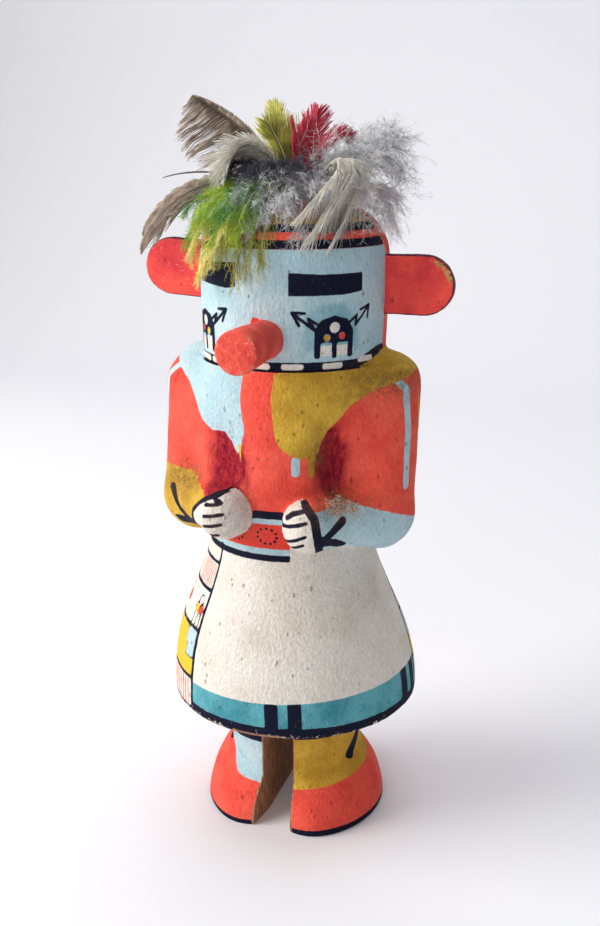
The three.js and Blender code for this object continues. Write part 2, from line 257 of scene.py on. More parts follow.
def trunk_form(z, bearing):
    zones = [z < HEM_HEIGHT, z < WAIST_HEIGHT, z < CHIN_HEIGHT]
    forms = [leg_form(z, bearing), kilt_form(z), chest_form(z, bearing)]
    return np.select(zones, forms, head_form(z))


def rod_distance(points, start, end, start_radius, end_radius):
    axis = end - start
    t = clamp01((points - start) @ axis / (axis @ axis))
    nearest = start + t[..., None] * axis
    return np.linalg.norm(points - nearest, axis=-1) - between(start_radius, end_radius, t)


def soft_union(a, b, softness):
    h = clamp01(0.5 + 0.5 * (b - a) / softness)
    return between(b, a, h) - softness * h * (1 - h)


def arm_distance(points, side):
    sign = 1 if side == "left" else -1
    shoulder = np.array([sign * SHOULDER_SPREAD, 0, SHOULDER_HEIGHT - UPPER_ARM_RADIUS])
    elbow = np.array([sign * ELBOW_SPREAD, -ELBOW_FORWARD, ELBOW_HEIGHT])
    hand = at_bearing(sign * HAND_BEARING[side], HAND_REACH, HAND_HEIGHT[side])
    wrist = between(hand, elbow, WRIST_SHARE)
    upper = rod_distance(points, shoulder, elbow, UPPER_ARM_RADIUS, ELBOW_RADIUS)
    fore = rod_distance(points, elbow, wrist, ELBOW_RADIUS, WRIST_RADIUS)
    fist = rod_distance(points, wrist, hand, WRIST_RADIUS, HAND_RADIUS)
    return soft_union(soft_union(upper, fore, ELBOW_BLEND), fist, WRIST_BLEND)


def carved_radius(z, bearing):
    """Outermost radius of trunk and arms together, found from outside inwards."""
    trunk = trunk_form(z, bearing)
    lowest, highest = ELBOW_HEIGHT - ELBOW_RADIUS - HAND_BLEND, SHOULDER_HEIGHT + SHOULDER_BLEND
    beside = (z > lowest) & (z < highest)
    z_here, bearing_here, trunk_here = z[beside], bearing[beside], trunk[beside]
    above_hands = ease(z_here, HAND_HEIGHT["right"] + HAND_RADIUS, CHEST_HEIGHT)
    softness = between(HAND_BLEND, SHOULDER_BLEND, above_hands)
    neck_height = NECK_SHARE * CHIN_HEIGHT + (1 - NECK_SHARE) * CHEST_HEIGHT
    softness = between(softness, NECK_BLEND, ease(z_here, neck_height, CHIN_HEIGHT))
    most_steps, caution = 60, 0.8
    radius = np.full(z_here.shape, ELBOW_SPREAD + ELBOW_RADIUS + HAND_RADIUS)
    for _ in range(most_steps):
        points = at_bearing(bearing_here, radius, z_here)
        arms = np.minimum(arm_distance(points, "left"), arm_distance(points, "right"))
        gap = soft_union(arms, radius - trunk_here, softness)
        radius = np.where(gap < HAIRLINE / 2, radius, radius - caution * gap)
    carved = trunk.copy()
    carved[beside] = radius
    return carved


def middle_x(z):
    """How far aside the body stands between kilt and head."""
    leaving = ease(z, HEM_HEIGHT, between(HEM_HEIGHT, WAIST_HEIGHT, LEAN_START))
    returning = 1 - ease(z, (CHEST_HEIGHT + CHIN_HEIGHT) / 2, CHIN_HEIGHT)
    return -BODY_LEAN * np.minimum(leaving, returning)


def carving_rings():
    """Heights of the carving's rings and the share of the full radius that each ring keeps."""
    flare_start, arms_start, arms_end = 62.0, 104.0, 134.0
    spans = [
        (0.0, 2 * SOLE_EDGE, 0.25),
        (2 * SOLE_EDGE, HEEL_HEIGHT, 0.85),
        (HEEL_HEIGHT, HEM_HEIGHT - HAIRLINE, 1.3),
        (HEM_HEIGHT, HEM_HEIGHT + HEM_ROUNDING, 0.2),
        (HEM_HEIGHT + HEM_ROUNDING, flare_start, 0.6),
        (flare_start, arms_start, 0.95),
        (arms_start, arms_end, 0.55),
        (arms_end, CHIN_HEIGHT - HAIRLINE, 0.75),
        (CHIN_HEIGHT, CROWN_TOP - CROWN_RISE, 0.58),
    ]
    heights = []
    for low, high, step in spans:
        heights += list(np.linspace(low, high, round((high - low) / step), endpoint=False))
        if high in (HEM_HEIGHT - HAIRLINE, CHIN_HEIGHT - HAIRLINE):
            heights.append(high)
    crown_rings = 34
    rise = np.sin(np.linspace(0, math.pi / 2, crown_rings))
    heights += list(CROWN_TOP - CROWN_RISE * (1 - rise))
    rings = [(z, 1.0) for z in heights]
    rings += [(CROWN_TOP, share) for share in (0.85, 0.7, 0.58)]
    return np.array(rings)


def ring_surface(points):
    """Quads between rings of points, closed by a fan at both ends."""
    rings, count = points.shape[:2]
    corner = np.arange(rings * count).reshape(rings, count)
    after = np.roll(corner, -1, axis=1)
    quads = np.stack([corner[:-1], after[:-1], after[1:], corner[1:]], axis=-1).reshape(-1, 4)
    bottom, top = rings * count, rings * count + 1
    vertices = np.concatenate([points.reshape(-1, 3), [points[0].mean(0)], [points[-1].mean(0)]])
    faces = quads.tolist()
    faces += [(bottom, b, a) for a, b in zip(corner[0].tolist(), after[0].tolist())]
    faces += [(top, a, b) for a, b in zip(corner[-1].tolist(), after[-1].tolist())]
    return vertices, faces


def new_object(name, vertices, faces, edges=()):
    """A mesh object from points in millimetres about the doll's middle line."""
    mesh = bpy.data.meshes.new(name)
    mesh.from_pydata((np.asarray(vertices) + MIDDLE) * MM, edges, faces)
    mesh.update()
    thing = bpy.data.objects.new(name, mesh)
    bpy.context.scene.collection.objects.link(thing)
    return thing


def points_of(thing):
    """The object's vertices in millimetres about the doll's middle line."""
    flat = np.zeros(len(thing.data.vertices) * 3, np.float32)
    thing.data.vertices.foreach_get("co", flat)
    return flat.reshape(-1, 3).astype(float) / MM - MIDDLE


def move_points(thing, points):
    flat = ((points + MIDDLE) * MM).astype(np.float32).ravel()
    thing.data.vertices.foreach_set("co", flat)
    thing.data.update()


def store(thing, name, values):
    layer = thing.data.attributes.new(name, "FLOAT", "POINT")
    layer.data.foreach_set("value", np.asarray(values, np.float32))


def stored(thing, name):
    values = np.zeros(len(thing.data.vertices), np.float32)
    thing.data.attributes[name].data.foreach_get("value", values)
    return values


def normals_of(thing):
    flat = np.zeros(len(thing.data.vertices) * 3, np.float32)
    thing.data.vertices.foreach_get("normal", flat)
    return flat.reshape(-1, 3).astype(float)


def smooth(thing, sharp_angle):
    thing.data.shade_smooth()
    thing.data.set_sharp_from_angle(angle=math.radians(sharp_angle))


def evaluated_mesh(thing):
    """A new mesh with the object's modifiers applied."""
    evaluated = thing.evaluated_get(bpy.context.evaluated_depsgraph_get())
    return bpy.data.meshes.new_from_object(evaluated)


def cut_away(thing, cutter):
    """Cuts one closed mesh out of another and deletes the cutter."""
    cut = thing.modifiers.new("cut", "BOOLEAN")
    cut.operation = "DIFFERENCE"
    cut.solver = "MANIFOLD"
    cut.object = cutter
    mesh = evaluated_mesh(thing)
    if len(mesh.polygons) == len(thing.data.polygons):
        raise RuntimeError(f"nothing was cut out of {thing.name}")
    thing.modifiers.clear()
    mesh.materials.clear()
    thing.data = mesh
    bpy.data.objects.remove(cutter)


def finish_piece(thing, slot, *nodes):
    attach(thing, "root")
    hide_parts(*nodes)


# Painted marks, as distances in millimetres that are negative inside a mark

# The radius at which each zone's surface is unrolled
UNROLLED = {"legs": 24.0, "kilt": 42.0, "belt": 30.0, "arms": 44.0, "chest": 35.0, "sleeves": 45.0}
ALL_ROUND = 190.0  # a bearing past the middle of the back


class Sheet:
    """The carving's surface unrolled at one radius, on which marks are laid out.

    Bearings are in degrees from a middle bearing, and heights in millimetres above a base.
    """

    def __init__(self, bearing, z, radius, middle=0.0, base=0.0, mirrored=False):
        turned = (bearing - middle + 180) % 360 - 180
        self.scale = math.radians(radius)
        self.u = turned * self.scale * (-1 if mirrored else 1)
        self.v = z - base

    def flat(self, points):
        return [(bearing * self.scale, z) for bearing, z in points]

    def segment(self, start, end):
        run = np.subtract(end, start)
        along = clamp01(((self.u - start[0]) * run[0] + (self.v - start[1]) * run[1]) / (run @ run))
        return np.hypot(self.u - start[0] - along * run[0], self.v - start[1] - along * run[1])

    def stroke(self, points, width):
        flat = self.flat(points)
        return np.minimum.reduce([self.segment(a, b) for a, b in zip(flat, flat[1:])]) - width / 2

    def patch(self, points):
        flat = self.flat(points)
        edge = np.full(self.u.shape, np.inf)
        inside = np.zeros(self.u.shape, bool)
        for (u0, v0), (u1, v1) in zip(flat, flat[1:] + flat[:1]):
            edge = np.minimum(edge, self.segment((u0, v0), (u1, v1)))
            if v0 != v1:
                crosses = (v0 > self.v) != (v1 > self.v)
                inside ^= crosses & (self.u < u0 + (self.v - v0) * (u1 - u0) / (v1 - v0))
        return np.where(inside, -edge, edge)

    def dot(self, bearing, z, radius):
        return np.hypot(self.u - bearing * self.scale, self.v - z) - radius

    def box(self, left, right, low, high):
        beside = [left * self.scale - self.u, self.u - right * self.scale]
        return np.maximum.reduce([*beside, low - self.v, self.v - high])


def join(*marks):
    return np.minimum.reduce(marks)


def within(*marks):
    return np.maximum.reduce(marks)


class Paint:
    """One distance for each colour; later colours in the list lie over earlier ones."""

    COLOURS = ("pale_blue", "ochre", "off_white", "turquoise", "yellow", "red", "navy")
    FAR = 9.0

    def __init__(self, count):
        self.layers = {colour: np.full(count, self.FAR) for colour in self.COLOURS}

    def add(self, colour, mark):
        self.layers[colour] = join(self.layers[colour], mark)

    def leave(self, colour, mark):
        """Keeps a colour out of a mark."""
        self.layers[colour] = within(self.layers[colour], -mark)


def arrow(sheet, shaft, barbs, width):
    """A zigzag shaft with a two-barbed head at its last point."""
    lines = [sheet.stroke(shaft, width)]
    lines += [sheet.stroke([shaft[-1], barb], width) for barb in barbs]
    return join(*lines)


def paint_cloud(paint, sheet, left_dot, right_dot):
    """A cheek's cloud mark: an arch on three legs with three dots and two lightning arrows."""
    half, shoulder, foot, bar = 11.3, 7.6, 0.0, 4.2
    top, line = 12.2, 1.3
    arch = [(-half, foot), (-half, 8.0), (-shoulder, 11.0), (0, top)]
    arch += [(shoulder, 11.0), (half, 8.0), (half, foot)]
    outline = sheet.patch([(-half, bar)] + arch[1:-1] + [(half, bar)])
    legs = [sheet.stroke([(b, bar), (b, foot)], 1.8) for b in (-half + 1, 0, half - 1)]
    crown_dot = sheet.dot(0, 9.0, 1.75)
    side_dots = [sheet.dot(-4.7, 5.8, 1.15), sheet.dot(4.9, 6.2, 1.15)]
    paint.add("navy", join(outline, sheet.stroke(arch, line), *legs))
    for hole in (crown_dot, *side_dots):
        paint.leave("navy", hole)
    paint.add("off_white", crown_dot)
    paint.add("off_white", sheet.box(-half + 1, half - 1, foot, bar - 0.9))
    paint.add(left_dot, side_dots[0])
    paint.add(right_dot, side_dots[1])
    left = [(-6.7, 9.0), (-16.2, 12.1), (-12.0, 8.2), (-25.5, 14.1)]
    right = [(7.0, 9.2), (14.8, 12.5), (13.9, 9.2), (24.9, 15.3)]
    paint.add("navy", arrow(sheet, left, [(-17.9, 13.8), (-21.4, 9.9)], 1.0))
    paint.add("navy", arrow(sheet, right, [(17.3, 14.0), (23.7, 11.0)], 0.9))


CHEEK_BASE = 176.0
CHEEKS = {"left": 42.4, "right": -50.5}
MASK_EDGE = 87.5  # bearing where the face paint ends on both sides


def chin_crease(bearing):
    """Height of the crease under the head, which rises over the shoulders."""
    return 170.6 + 3.0 * ease(np.abs(bearing), 56, 80)


def paint_head(paint, bearing, z):
    sheet = Sheet(bearing, z, HEAD_RADIUS)
    face = np.abs(sheet.u) - MASK_EDGE * sheet.scale
    crease = chin_crease(bearing)
    slant = -2.1 * ease(-bearing, 20, 70)  # the bands dip a little over the right cheek
    bands = {"mask": 209.5, "brow": 212.3, "gap": 214.6, "line": 216.9, "cap": 219.6}
    edge = {name: height + slant for name, height in bands.items()}

    def ring(low, high, inset=0.0):
        return within(low - z, z - high, face + inset)

    paint.add("pale_blue", ring(crease - 3, edge["mask"]))
    paint.add("navy", ring(edge["mask"], edge["brow"], 0.8))
    paint.add("navy", ring(edge["gap"], edge["line"], 1.6))
    paint.add("ochre", ring(edge["line"], edge["cap"], 1.2))
    paint.add("navy", ring(crease - 3, crease + 3.5))
    paint.add("off_white", ring(crease, crease + 3.2, 1.0))
    dash_step, first_dash = 24.4, 17.2
    for step in range(-3, 3):
        middle = first_dash + step * dash_step
        middle_height = chin_crease(np.array(middle)) + 2.0
        reach = 5.0 if step >= 0 else 9.5
        dash = sheet.stroke([(middle - reach, middle_height), (middle + reach, middle_height)], 1.9)
        paint.leave("navy", dash)
    left_eye = [(15, 202.4), (35.4, 201.8), (60.8, 201.9), (61, 196.1), (47.3, 195.2), (15, 195.2)]
    right_eye = [(-60, 204.3), (-17.2, 205.2), (-17.6, 197.4), (-25.6, 196.8), (-37.3, 197.3), (-60.4, 198.1)]
    paint.add("navy", join(sheet.patch(left_eye), sheet.patch(right_eye)))
    for side, dots in {"left": ("ochre", "red"), "right": ("yellow", "red")}.items():
        cheek = Sheet(bearing, z, HEAD_RADIUS, CHEEKS[side], CHEEK_BASE, mirrored=side == "right")
        paint_cloud(paint, cheek, *dots)
    glue = sheet.dot(SNOUT_BEARING - 5.0, SNOUT_HEIGHT + 0.74 * SNOUT_RADIUS, 0.27 * SNOUT_RADIUS)
    paint.add("red", glue)
    paint.leave("navy", glue)


def mirrored_behind(points):
    """The same outline on the doll's back, beyond the shoulder that the first one runs to."""
    side = 180 if points[0][0] > 0 else -180
    return [(side - bearing, z) for bearing, z in points]


def paint_chest(paint, bearing, z, proud):
    sheet = Sheet(bearing, z, UNROLLED["chest"])
    blue = [
        (-96, 190), (-96, 171), (-80, 169), (-63.8, 163.8), (-49.4, 156.8), (-42, 152.5), (-34.7, 149.3),
        (-24.5, 149.4), (-18, 146), (-14.5, 142.6), (-10.2, 146.5), (-7.5, 151.6), (-10.8, 163.8),
        (-13.2, 172), (-13.2, 190),
    ]
    ochre = [
        (96, 190), (6.2, 190), (6.2, 172), (9.6, 152.7), (10.8, 149), (13.4, 146.4), (18.9, 143.9),
        (23.5, 143), (28.4, 143.2), (29, 137), (31.4, 135.8), (33.6, 142.6), (36, 147), (40.1, 151.5),
        (46.5, 155), (53, 159.2), (61.9, 162.4), (67.6, 164.4), (75.5, 166), (81, 167.4), (96, 170),
    ]
    for colour, outline in {"pale_blue": blue, "ochre": ochre}.items():
        both = join(sheet.patch(outline), sheet.patch(mirrored_behind(outline)))
        paint.add(colour, both)
    paint.add("pale_blue", sheet.stroke([(21.3, 142.4), (21.3, 138.2)], 2.9))
    paint.add("yellow", sheet.patch([(-13.8, 146.2), (-10.6, 146.4), (-11.6, 139.6)]))
    paint_sleeves(paint, bearing, z)
    paint_belt(paint, bearing, z, proud)


def paint_sleeves(paint, bearing, z):
    """A pale stripe and a thin ochre one down the outside of each arm."""
    sheet = Sheet(bearing, z, UNROLLED["sleeves"])
    for side in (1, -1):
        pale = [(75.5, 166.6), (79.3, 163.2), (79.6, 150.0), (77.2, 130.8)]
        paint.add("pale_blue", sheet.stroke([(side * b, height) for b, height in pale], 2.7))
        paint.add("ochre", sheet.stroke([(side * 89.0, 160.0), (side * 89.0, 124.0)], 1.5))


def paint_belt(paint, bearing, z, proud):
    sheet = Sheet(bearing, z, UNROLLED["belt"])
    on_trunk = proud - 1.0

    def hoop(low, high):
        return sheet.box(-ALL_ROUND, ALL_ROUND, low, high)

    paint.add("pale_blue", within(hoop(107.4, 122.4), on_trunk))
    paint.add("red", within(hoop(109.6, 119.2), on_trunk))
    paint.add("navy", within(join(hoop(121.2, 124.2), hoop(105.3, 107.5)), on_trunk))
    under_arm = sheet.box(18, 80, 95, 111.5)
    for colour in ("red", "navy"):
        paint.leave(colour, under_arm)
    paint.add("off_white", within(under_arm, on_trunk))
    ring_radius, ring_step, first_ring, dots = 3.0, 24.0, 2.8, 11
    for ring in range(-7, 8):
        middle = first_ring + ring_step * ring
        for turn in np.linspace(0, 2 * math.pi, dots, endpoint=False):
            across = math.degrees(ring_radius * 1.15 * math.sin(turn) / UNROLLED["belt"])
            spot = sheet.dot(middle + across, 114.4 + ring_radius * math.cos(turn), 0.55)
            paint.add("navy", within(spot, on_trunk))


def paint_arms(paint, bearing, z, proud):
    sheet = Sheet(bearing, z, UNROLLED["arms"])
    on_arm = 1.2 - proud
    right, left = sheet.box(-150, -4, 90, 160), sheet.box(4, 150, 90, 160)
    right_top = z - (131.9 - 3.0 * ease(bearing, -70, -40))
    left_top = z - (127.3 - 0.27 * clamp01((bearing - 51.5) / 60) * 60)
    fore_right = within(on_arm, right, right_top)
    fore_left = within(on_arm, left, left_top)
    for colour, mark in {"ochre": fore_right, "pale_blue": fore_left}.items():
        paint.add(colour, mark)
    paint.leave("pale_blue", fore_right)
    paint_hand(paint, sheet, on_arm, HANDS["right"])
    paint_hand(paint, sheet, on_arm, HANDS["left"])


# Each hand's outline, wrist line, fingers and the forked mark behind the wrist
HANDS = {
    "right": {
        "palm": [
            (-8, 136), (-16.5, 132), (-24.5, 128.4), (-38, 121.6),
            (-47, 115), (-51, 104), (4, 104), (4, 136),
        ],
        "wrist": [(-13, 132.6), (-16.5, 131.3), (-24.5, 128.2), (-38, 121.6), (-46.5, 115), (-50.5, 105)],
        "wrist_width": 1.9,
        "fingers": [
            [(-17.9, 129.9), (-13.6, 128.4)],
            [(-21, 127.5), (-14.7, 128.2)],
            [(-21, 123.7), (-12.1, 125.2)],
            [(-22.4, 119.7), (-12.6, 121.8)],
            [(-22, 115.8), (-15.1, 117.6)],
        ],
        "fork": [[(-48, 115), (-58, 118), (-66, 124.5)], [(-48, 115), (-66, 112.6)]],
        "fork_width": 3.0,
    },
    "left": {
        "palm": [(24, 136), (27, 128), (29.6, 124.4), (30.5, 117), (36, 104), (2, 104), (2, 136)],
        "wrist": [(25.6, 128.6), (28.6, 125.6), (29.3, 121), (30.2, 117), (34.6, 105.4)],
        "wrist_width": 2.9,
        "fingers": [
            [(16.6, 124.5), (19.7, 126.4), (24, 127.4)],
            [(13.5, 121.6), (25.0, 124.3)],
            [(12.5, 115.2), (24.4, 119.9)],
            [(12.3, 111.6), (23.8, 116.8)],
            [(15.0, 108.4), (23.0, 111.4)],
        ],
        "fork": [[(31, 117.5), (43, 123)], [(31, 117.5), (38.5, 116), (45.5, 113.2)]],
        "fork_width": 3.0,
    },
}


def paint_hand(paint, sheet, on_arm, hand):
    palm = within(sheet.patch(hand["palm"]), on_arm)
    paint.add("off_white", palm)
    paint.add("navy", within(sheet.stroke(hand["wrist"], hand["wrist_width"]), on_arm))
    for finger in hand["fingers"]:
        paint.add("navy", within(sheet.stroke(finger, 1.2), on_arm))
    for prong in hand["fork"]:
        paint.add("navy", within(sheet.stroke(prong, hand["fork_width"]), on_arm - 0.9))


# Bearings of the front edges of the kilt's two bright borders at the hem and at the waist, and their width
HIPS = {"right": (-37.0, -37.0), "left": (96.0, 110.0)}
HIP_WIDTH = 60.0
HEM_BARS = (8.1, 18.4, 80.4, 90.3, 152.0, 162.0, -126.0, -136.0)  # middles of the bars across the hem band


def hem_band_top(bearing):
    return 60.2 + 1.6 * np.sin(np.radians(bearing - 20))


def paint_kilt(paint, bearing, z, proud):
    sheet = Sheet(bearing, z, UNROLLED["kilt"])
    paint.add("off_white", within(HEM_HEIGHT - 1 - z, z - 106.0))
    band_top = hem_band_top(bearing)
    band = within(51.2 - z, z - band_top)
    paint.add("turquoise", band)
    bar_half = 3.05
    for middle in HEM_BARS:
        paint.add("navy", within(sheet.box(middle - bar_half, middle + bar_half, 50, 70), z - band_top))
    paint.add("navy", within(HEM_HEIGHT - 1 - z, z - 51.3))
    for side, (at_hem, at_waist) in HIPS.items():
        front_edge = between(at_hem, at_waist, ease(z, HEM_HEIGHT, WAIST_HEIGHT))
        border = Sheet(bearing, z, UNROLLED["kilt"], front_edge, mirrored=side == "right")
        paint_hip(paint, border)


def paint_hip(paint, sheet):
    """A bright border down one hip, in five panels between two navy lines."""
    width, z = HIP_WIDTH, sheet.v
    column = sheet.box(0, width, HEM_HEIGHT, 107.4)
    paint.leave("turquoise", column)
    paint.leave("navy", within(column, HEM_HEIGHT + 2.2 - z))
    edges = join(*(sheet.stroke([(b, 47), (b, 107.6)], 1.45) for b in (0, width)))
    floors = [60.0, 76.8, 90.6, 100.4]
    rails = join(*(sheet.stroke([(0, floor), (width, floor)], 1.25) for floor in floors))
    paint.add("navy", join(edges, rails))
    red_lines = [sheet.stroke([(b, 48), (b, 59.4)], 0.62) for b in np.arange(2.4, width - 1, 2.1)]
    red_lines += [sheet.stroke([(b, 91.2), (b, 99.8)], 0.62) for b in np.arange(2.6, width - 1, 2.5)]
    paint.add("red", join(*red_lines))
    paint.add("yellow", sheet.box(0, width, 60.4, 76.4))
    stepped = [(0, 76.8), (10.5, 76.8), (10.5, 71), (8, 71), (8, 66.6), (0, 66.6)]
    for first in (1.2, 31.0):
        step = [(first + across, height) for across, height in stepped]
        block = sheet.patch(step)
        paint.add("pale_blue", block)
        paint.leave("off_white", block)
        paint.leave("yellow", block)
        paint.add("navy", sheet.stroke(step + step[:1], 0.6))
    for middle in (6.6, 30.0, 52.0):
        paint_small_cloud(paint, sheet, middle, 78.6)


def paint_small_cloud(paint, sheet, middle, foot):
    """A small cloud sign: three outlined steps over three legs."""
    left, right, top = [sheet.dot(middle + b, foot + h, 1.7) for b, h in ((2.3, 4.6), (-2.3, 4.6), (0, 7.6))]
    paint.add("yellow", left)
    paint.add("red", right)
    for ring in (left, right, top):
        paint.add("navy", np.abs(ring) - 0.3)
    for leg in (-3.6, 0, 3.6):
        paint.add("navy", sheet.stroke([(middle + leg, foot + 3), (middle + leg, foot - 1)], 0.6))


def paint_legs(paint, bearing, z):
    sheet = Sheet(bearing, z, UNROLLED["legs"])
    sides = 5.2 * (1 - np.cos(np.radians(bearing))) ** 0.9 + 7.0 * ease(-bearing, 35, 75)
    above_foot = 13.9 + sides - z
    under_kilt = z - HEM_HEIGHT
    paint.add("pale_blue", within(above_foot, under_kilt, sheet.box(-180, 0, 0, 60)))
    paint.add("ochre", within(above_foot, under_kilt, sheet.box(0, 180, 0, 60)))
    garter_foot = 28.2 + 1.9 * ease(bearing, -60, -15) + 3.4 * ease(bearing, 0, 17)
    paint.add("navy", within(garter_foot - z, z - garter_foot - 4.0))
    strokes = [sheet.stroke([(side * 95, 32.5), (side * 73, 23.6)], 4.2) for side in (1, -1)]
    paint.add("navy", within(join(*strokes), under_kilt))
    paint.add("navy", z - 2.0 - 0.6 * ease(bearing, 0, 40))


SHOULDER_PROUD = 0.5  # what stands further out beside the head is shoulder


def paint_carving(thing):
    """Stores every painted mark, the roughly carved places, the wear, and the grime with painted shade as
    attributes.
    """
    points = points_of(thing)
    x = points[:, 0] - middle_x(points[:, 2])
    y, z = points[:, 1], points[:, 2]
    bearing = np.degrees(np.arctan2(x, -y))
    radius = np.hypot(x, y)
    proud = radius - trunk_form(z, bearing)
    on_legs = z < HEM_HEIGHT - HAIRLINE / 2
    on_head = z > chin_crease(bearing) - HAIRLINE / 2
    shoulder = proud - SHOULDER_PROUD
    zones = {
        "legs": (on_legs, lambda paint: paint_legs(paint, bearing, z)),
        "kilt": (~on_legs & (z < 108), lambda paint: paint_kilt(paint, bearing, z, proud)),
        "chest": (~on_legs, lambda paint: paint_torso(paint, bearing, z, proud)),
        "head": (on_head, lambda paint: paint_head(paint, bearing, z)),
    }
    layers = {colour: np.full(len(z), Paint.FAR) for colour in Paint.COLOURS}
    for name, (zone, brush) in zones.items():
        paint = Paint(len(z))
        brush(paint)
        for colour in Paint.COLOURS:
            before, fresh = layers[colour], paint.layers[colour]
            if name == "chest":
                fresh = join(before, fresh)
            elif name == "head":
                fresh = join(within(fresh, shoulder), within(before, -shoulder))
            layers[colour] = np.where(zone, fresh, before)
    for colour, distance in layers.items():
        store(thing, colour, np.clip(distance, -Paint.FAR, Paint.FAR))
    store_wear_and_shade(thing, points, bearing, z, radius)


def paint_torso(paint, bearing, z, proud):
    paint_chest(paint, bearing, z, proud)
    paint_arms(paint, bearing, z, proud)


# Soft spots on the surface: strength, bearing and its spread, height and its spread
GOUGED = ((1.0, -22.0, 15.0, 138.5, 13.5), (1.0, 42.5, 9.5, 141.0, 12.5))
CREASE_CHIPS = ((1.35, 44.0, 18.0, 127.4, 4.4),)
# Brown grime with painted shade: soft spots in the creases over both forearms, under the head on the left
# shoulder, in the left chest hollow, between the right hand and the chest, and faintly on the kilt's front
GRIME_AND_SHADE = (
    (1.0, -57.0, 17.0, 129.5, 6.5),
    (1.0, 34.5, 6.0, 144.0, 8.0),
    (0.9, 76.0, 28.0, 166.0, 6.5),
    (1.0, 44.0, 19.0, 127.6, 4.4),
    (0.5, -12.0, 9.0, 122.0, 9.0),
    (0.25, 2.0, 9.0, 81.0, 5.5),
)


def soft_spots(bearing, z, spots):
    """How strongly a point lies in the nearest of several soft spots."""
    hills = []
    for strength, middle, spread, height, reach in spots:
        hills.append(strength * hill(bearing, middle, spread) * hill(z, height, reach))
    return np.maximum.reduce(hills)


def store_wear_and_shade(thing, points, bearing, z, radius):
    """Where wood is bare or gouged, where paint is worn, where grime and painted shade darken it, and where a
    halo is rubbed in.
    """
    gap_run, saw_margin, hole_margin = 16.0, 0.25, 0.6
    half_gap = between(LEG_GAP, LEG_GAP_AT_TOES, clamp01((-points[:, 1] - GAP_WIDENS_AT) / gap_run)) / 2
    in_gap = (np.abs(points[:, 0]) < half_gap + saw_margin) & (z < HEM_HEIGHT + SAW_KERF_END + 0.1)
    in_hole = (z > CROWN_TOP - CROWN_HOLE["depth"] - 0.1) & (radius < CROWN_HOLE["top"] + hole_margin)
    store(thing, "bare", (in_gap | in_hole).astype(float))
    ragged = 1 + 0.45 * noise(points, (4, 4, 6), 51) + 0.3 * noise(points, (1.8, 1.8, 3), 53)
    rough = soft_spots(bearing, z, GOUGED)
    store(thing, "rough", np.clip(rough * ragged, 0, 1) * ease(z, 126, 131))
    hem = clamp01(0.98 - 0.2 * (z - HEM_HEIGHT) + 0.3 * noise(points, (8, 8, 8), 61))
    hem = hem * (z > HEM_HEIGHT - 0.1)
    crease = soft_spots(bearing, z, CREASE_CHIPS) * (0.8 + 0.5 * noise(points, (5, 5, 5), 63))
    chin = 0.45 * hill(z - chin_crease(bearing), 0, 0.8)
    store(thing, "worn", np.maximum.reduce([hem, crease, chin]))
    # Grime and painted shade in the soft spots listed above
    store(thing, "grime_and_shade", soft_spots(bearing, z, GRIME_AND_SHADE))
    halo = Sheet(bearing, z, HEAD_RADIUS, CHEEKS["left"], CHEEK_BASE)
    shape = [(-17.5, 2), (-17.5, 12), (-8, 16.4), (6, 16.4), (15, 11), (17, 2)]
    store(thing, "halo", ease(-halo.patch(shape), -1.5, 1.2))


# Node trees. A noise scale counts features in a metre, so that 1000 makes them a millimetre apart.


def add(tree, kind, inputs=None, **settings):
    """Adds a node, sets its properties and fills or links its inputs by name or index."""
    node = tree.nodes.new(kind)
    for name, value in settings.items():
        setattr(node, name, value)
    for key, value in (inputs or {}).items():
        if isinstance(value, bpy.types.NodeSocket):
            tree.links.new(value, node.inputs[key])
        else:
            node.inputs[key].default_value = value
    return node


def calc(tree, operation, *values, clamp=False):
    inputs = dict(enumerate(values))
    return add(tree, "ShaderNodeMath", inputs, operation=operation, use_clamp=clamp).outputs[0]


def plus(tree, a, b):
    return calc(tree, "ADD", a, b)


def minus(tree, a, b):
    return calc(tree, "SUBTRACT", a, b)


def times(tree, a, b):
    return calc(tree, "MULTIPLY", a, b)


def vector(tree, operation, *values):
    node = add(tree, "ShaderNodeVectorMath", dict(enumerate(values)), operation=operation)
    return node.outputs["Value" if operation in ("DOT_PRODUCT", "LENGTH") else "Vector"]


def scaled(tree, value, scale):
    return add(tree, "ShaderNodeVectorMath", {0: value, "Scale": scale}, operation="SCALE").outputs["Vector"]


def remap(tree, value, from_low, from_high, to_low=0.0, to_high=1.0):
    inputs = {"Value": value, "From Min": from_low, "From Max": from_high}
    inputs |= {"To Min": to_low, "To Max": to_high}
    return add(tree, "ShaderNodeMapRange", inputs, clamp=True).outputs["Result"]


def mix(tree, factor, a, b, blend_type="MIX"):
    inputs = {0: factor, 6: a, 7: b}
    node = add(tree, "ShaderNodeMix", inputs, data_type="RGBA", blend_type=blend_type)
    return node.outputs[2]


def texture_noise(tree, where, scale, detail=3.0, roughness=0.5):
    inputs = {"Vector": where, "Scale": scale, "Detail": detail, "Roughness": roughness}
    return add(tree, "ShaderNodeTexNoise", inputs).outputs["Fac"]


def attribute(tree, name):
    return add(tree, "ShaderNodeAttribute", attribute_name=name, attribute_type="GEOMETRY").outputs["Fac"]


def group(name, inputs, outputs):
    """A shader node group with the given sockets; returns it with its input and output nodes."""
    tree = bpy.data.node_groups.new(name, "ShaderNodeTree")
    for socket, (kind, default) in inputs.items():
        made = tree.interface.new_socket(socket, in_out="INPUT", socket_type=kind)
        if default is not None:
            made.default_value = default
    for socket, kind in outputs.items():
        tree.interface.new_socket(socket, in_out="OUTPUT", socket_type=kind)
    return tree, tree.nodes.new("NodeGroupInput").outputs, tree.nodes.new("NodeGroupOutput").inputs


def use(tree, shared, inputs):
    return add(tree, "ShaderNodeGroup", inputs, node_tree=shared).outputs


FLOAT, VECTOR, WHOLE = "NodeSocketFloat", "NodeSocketVector", "NodeSocketInt"


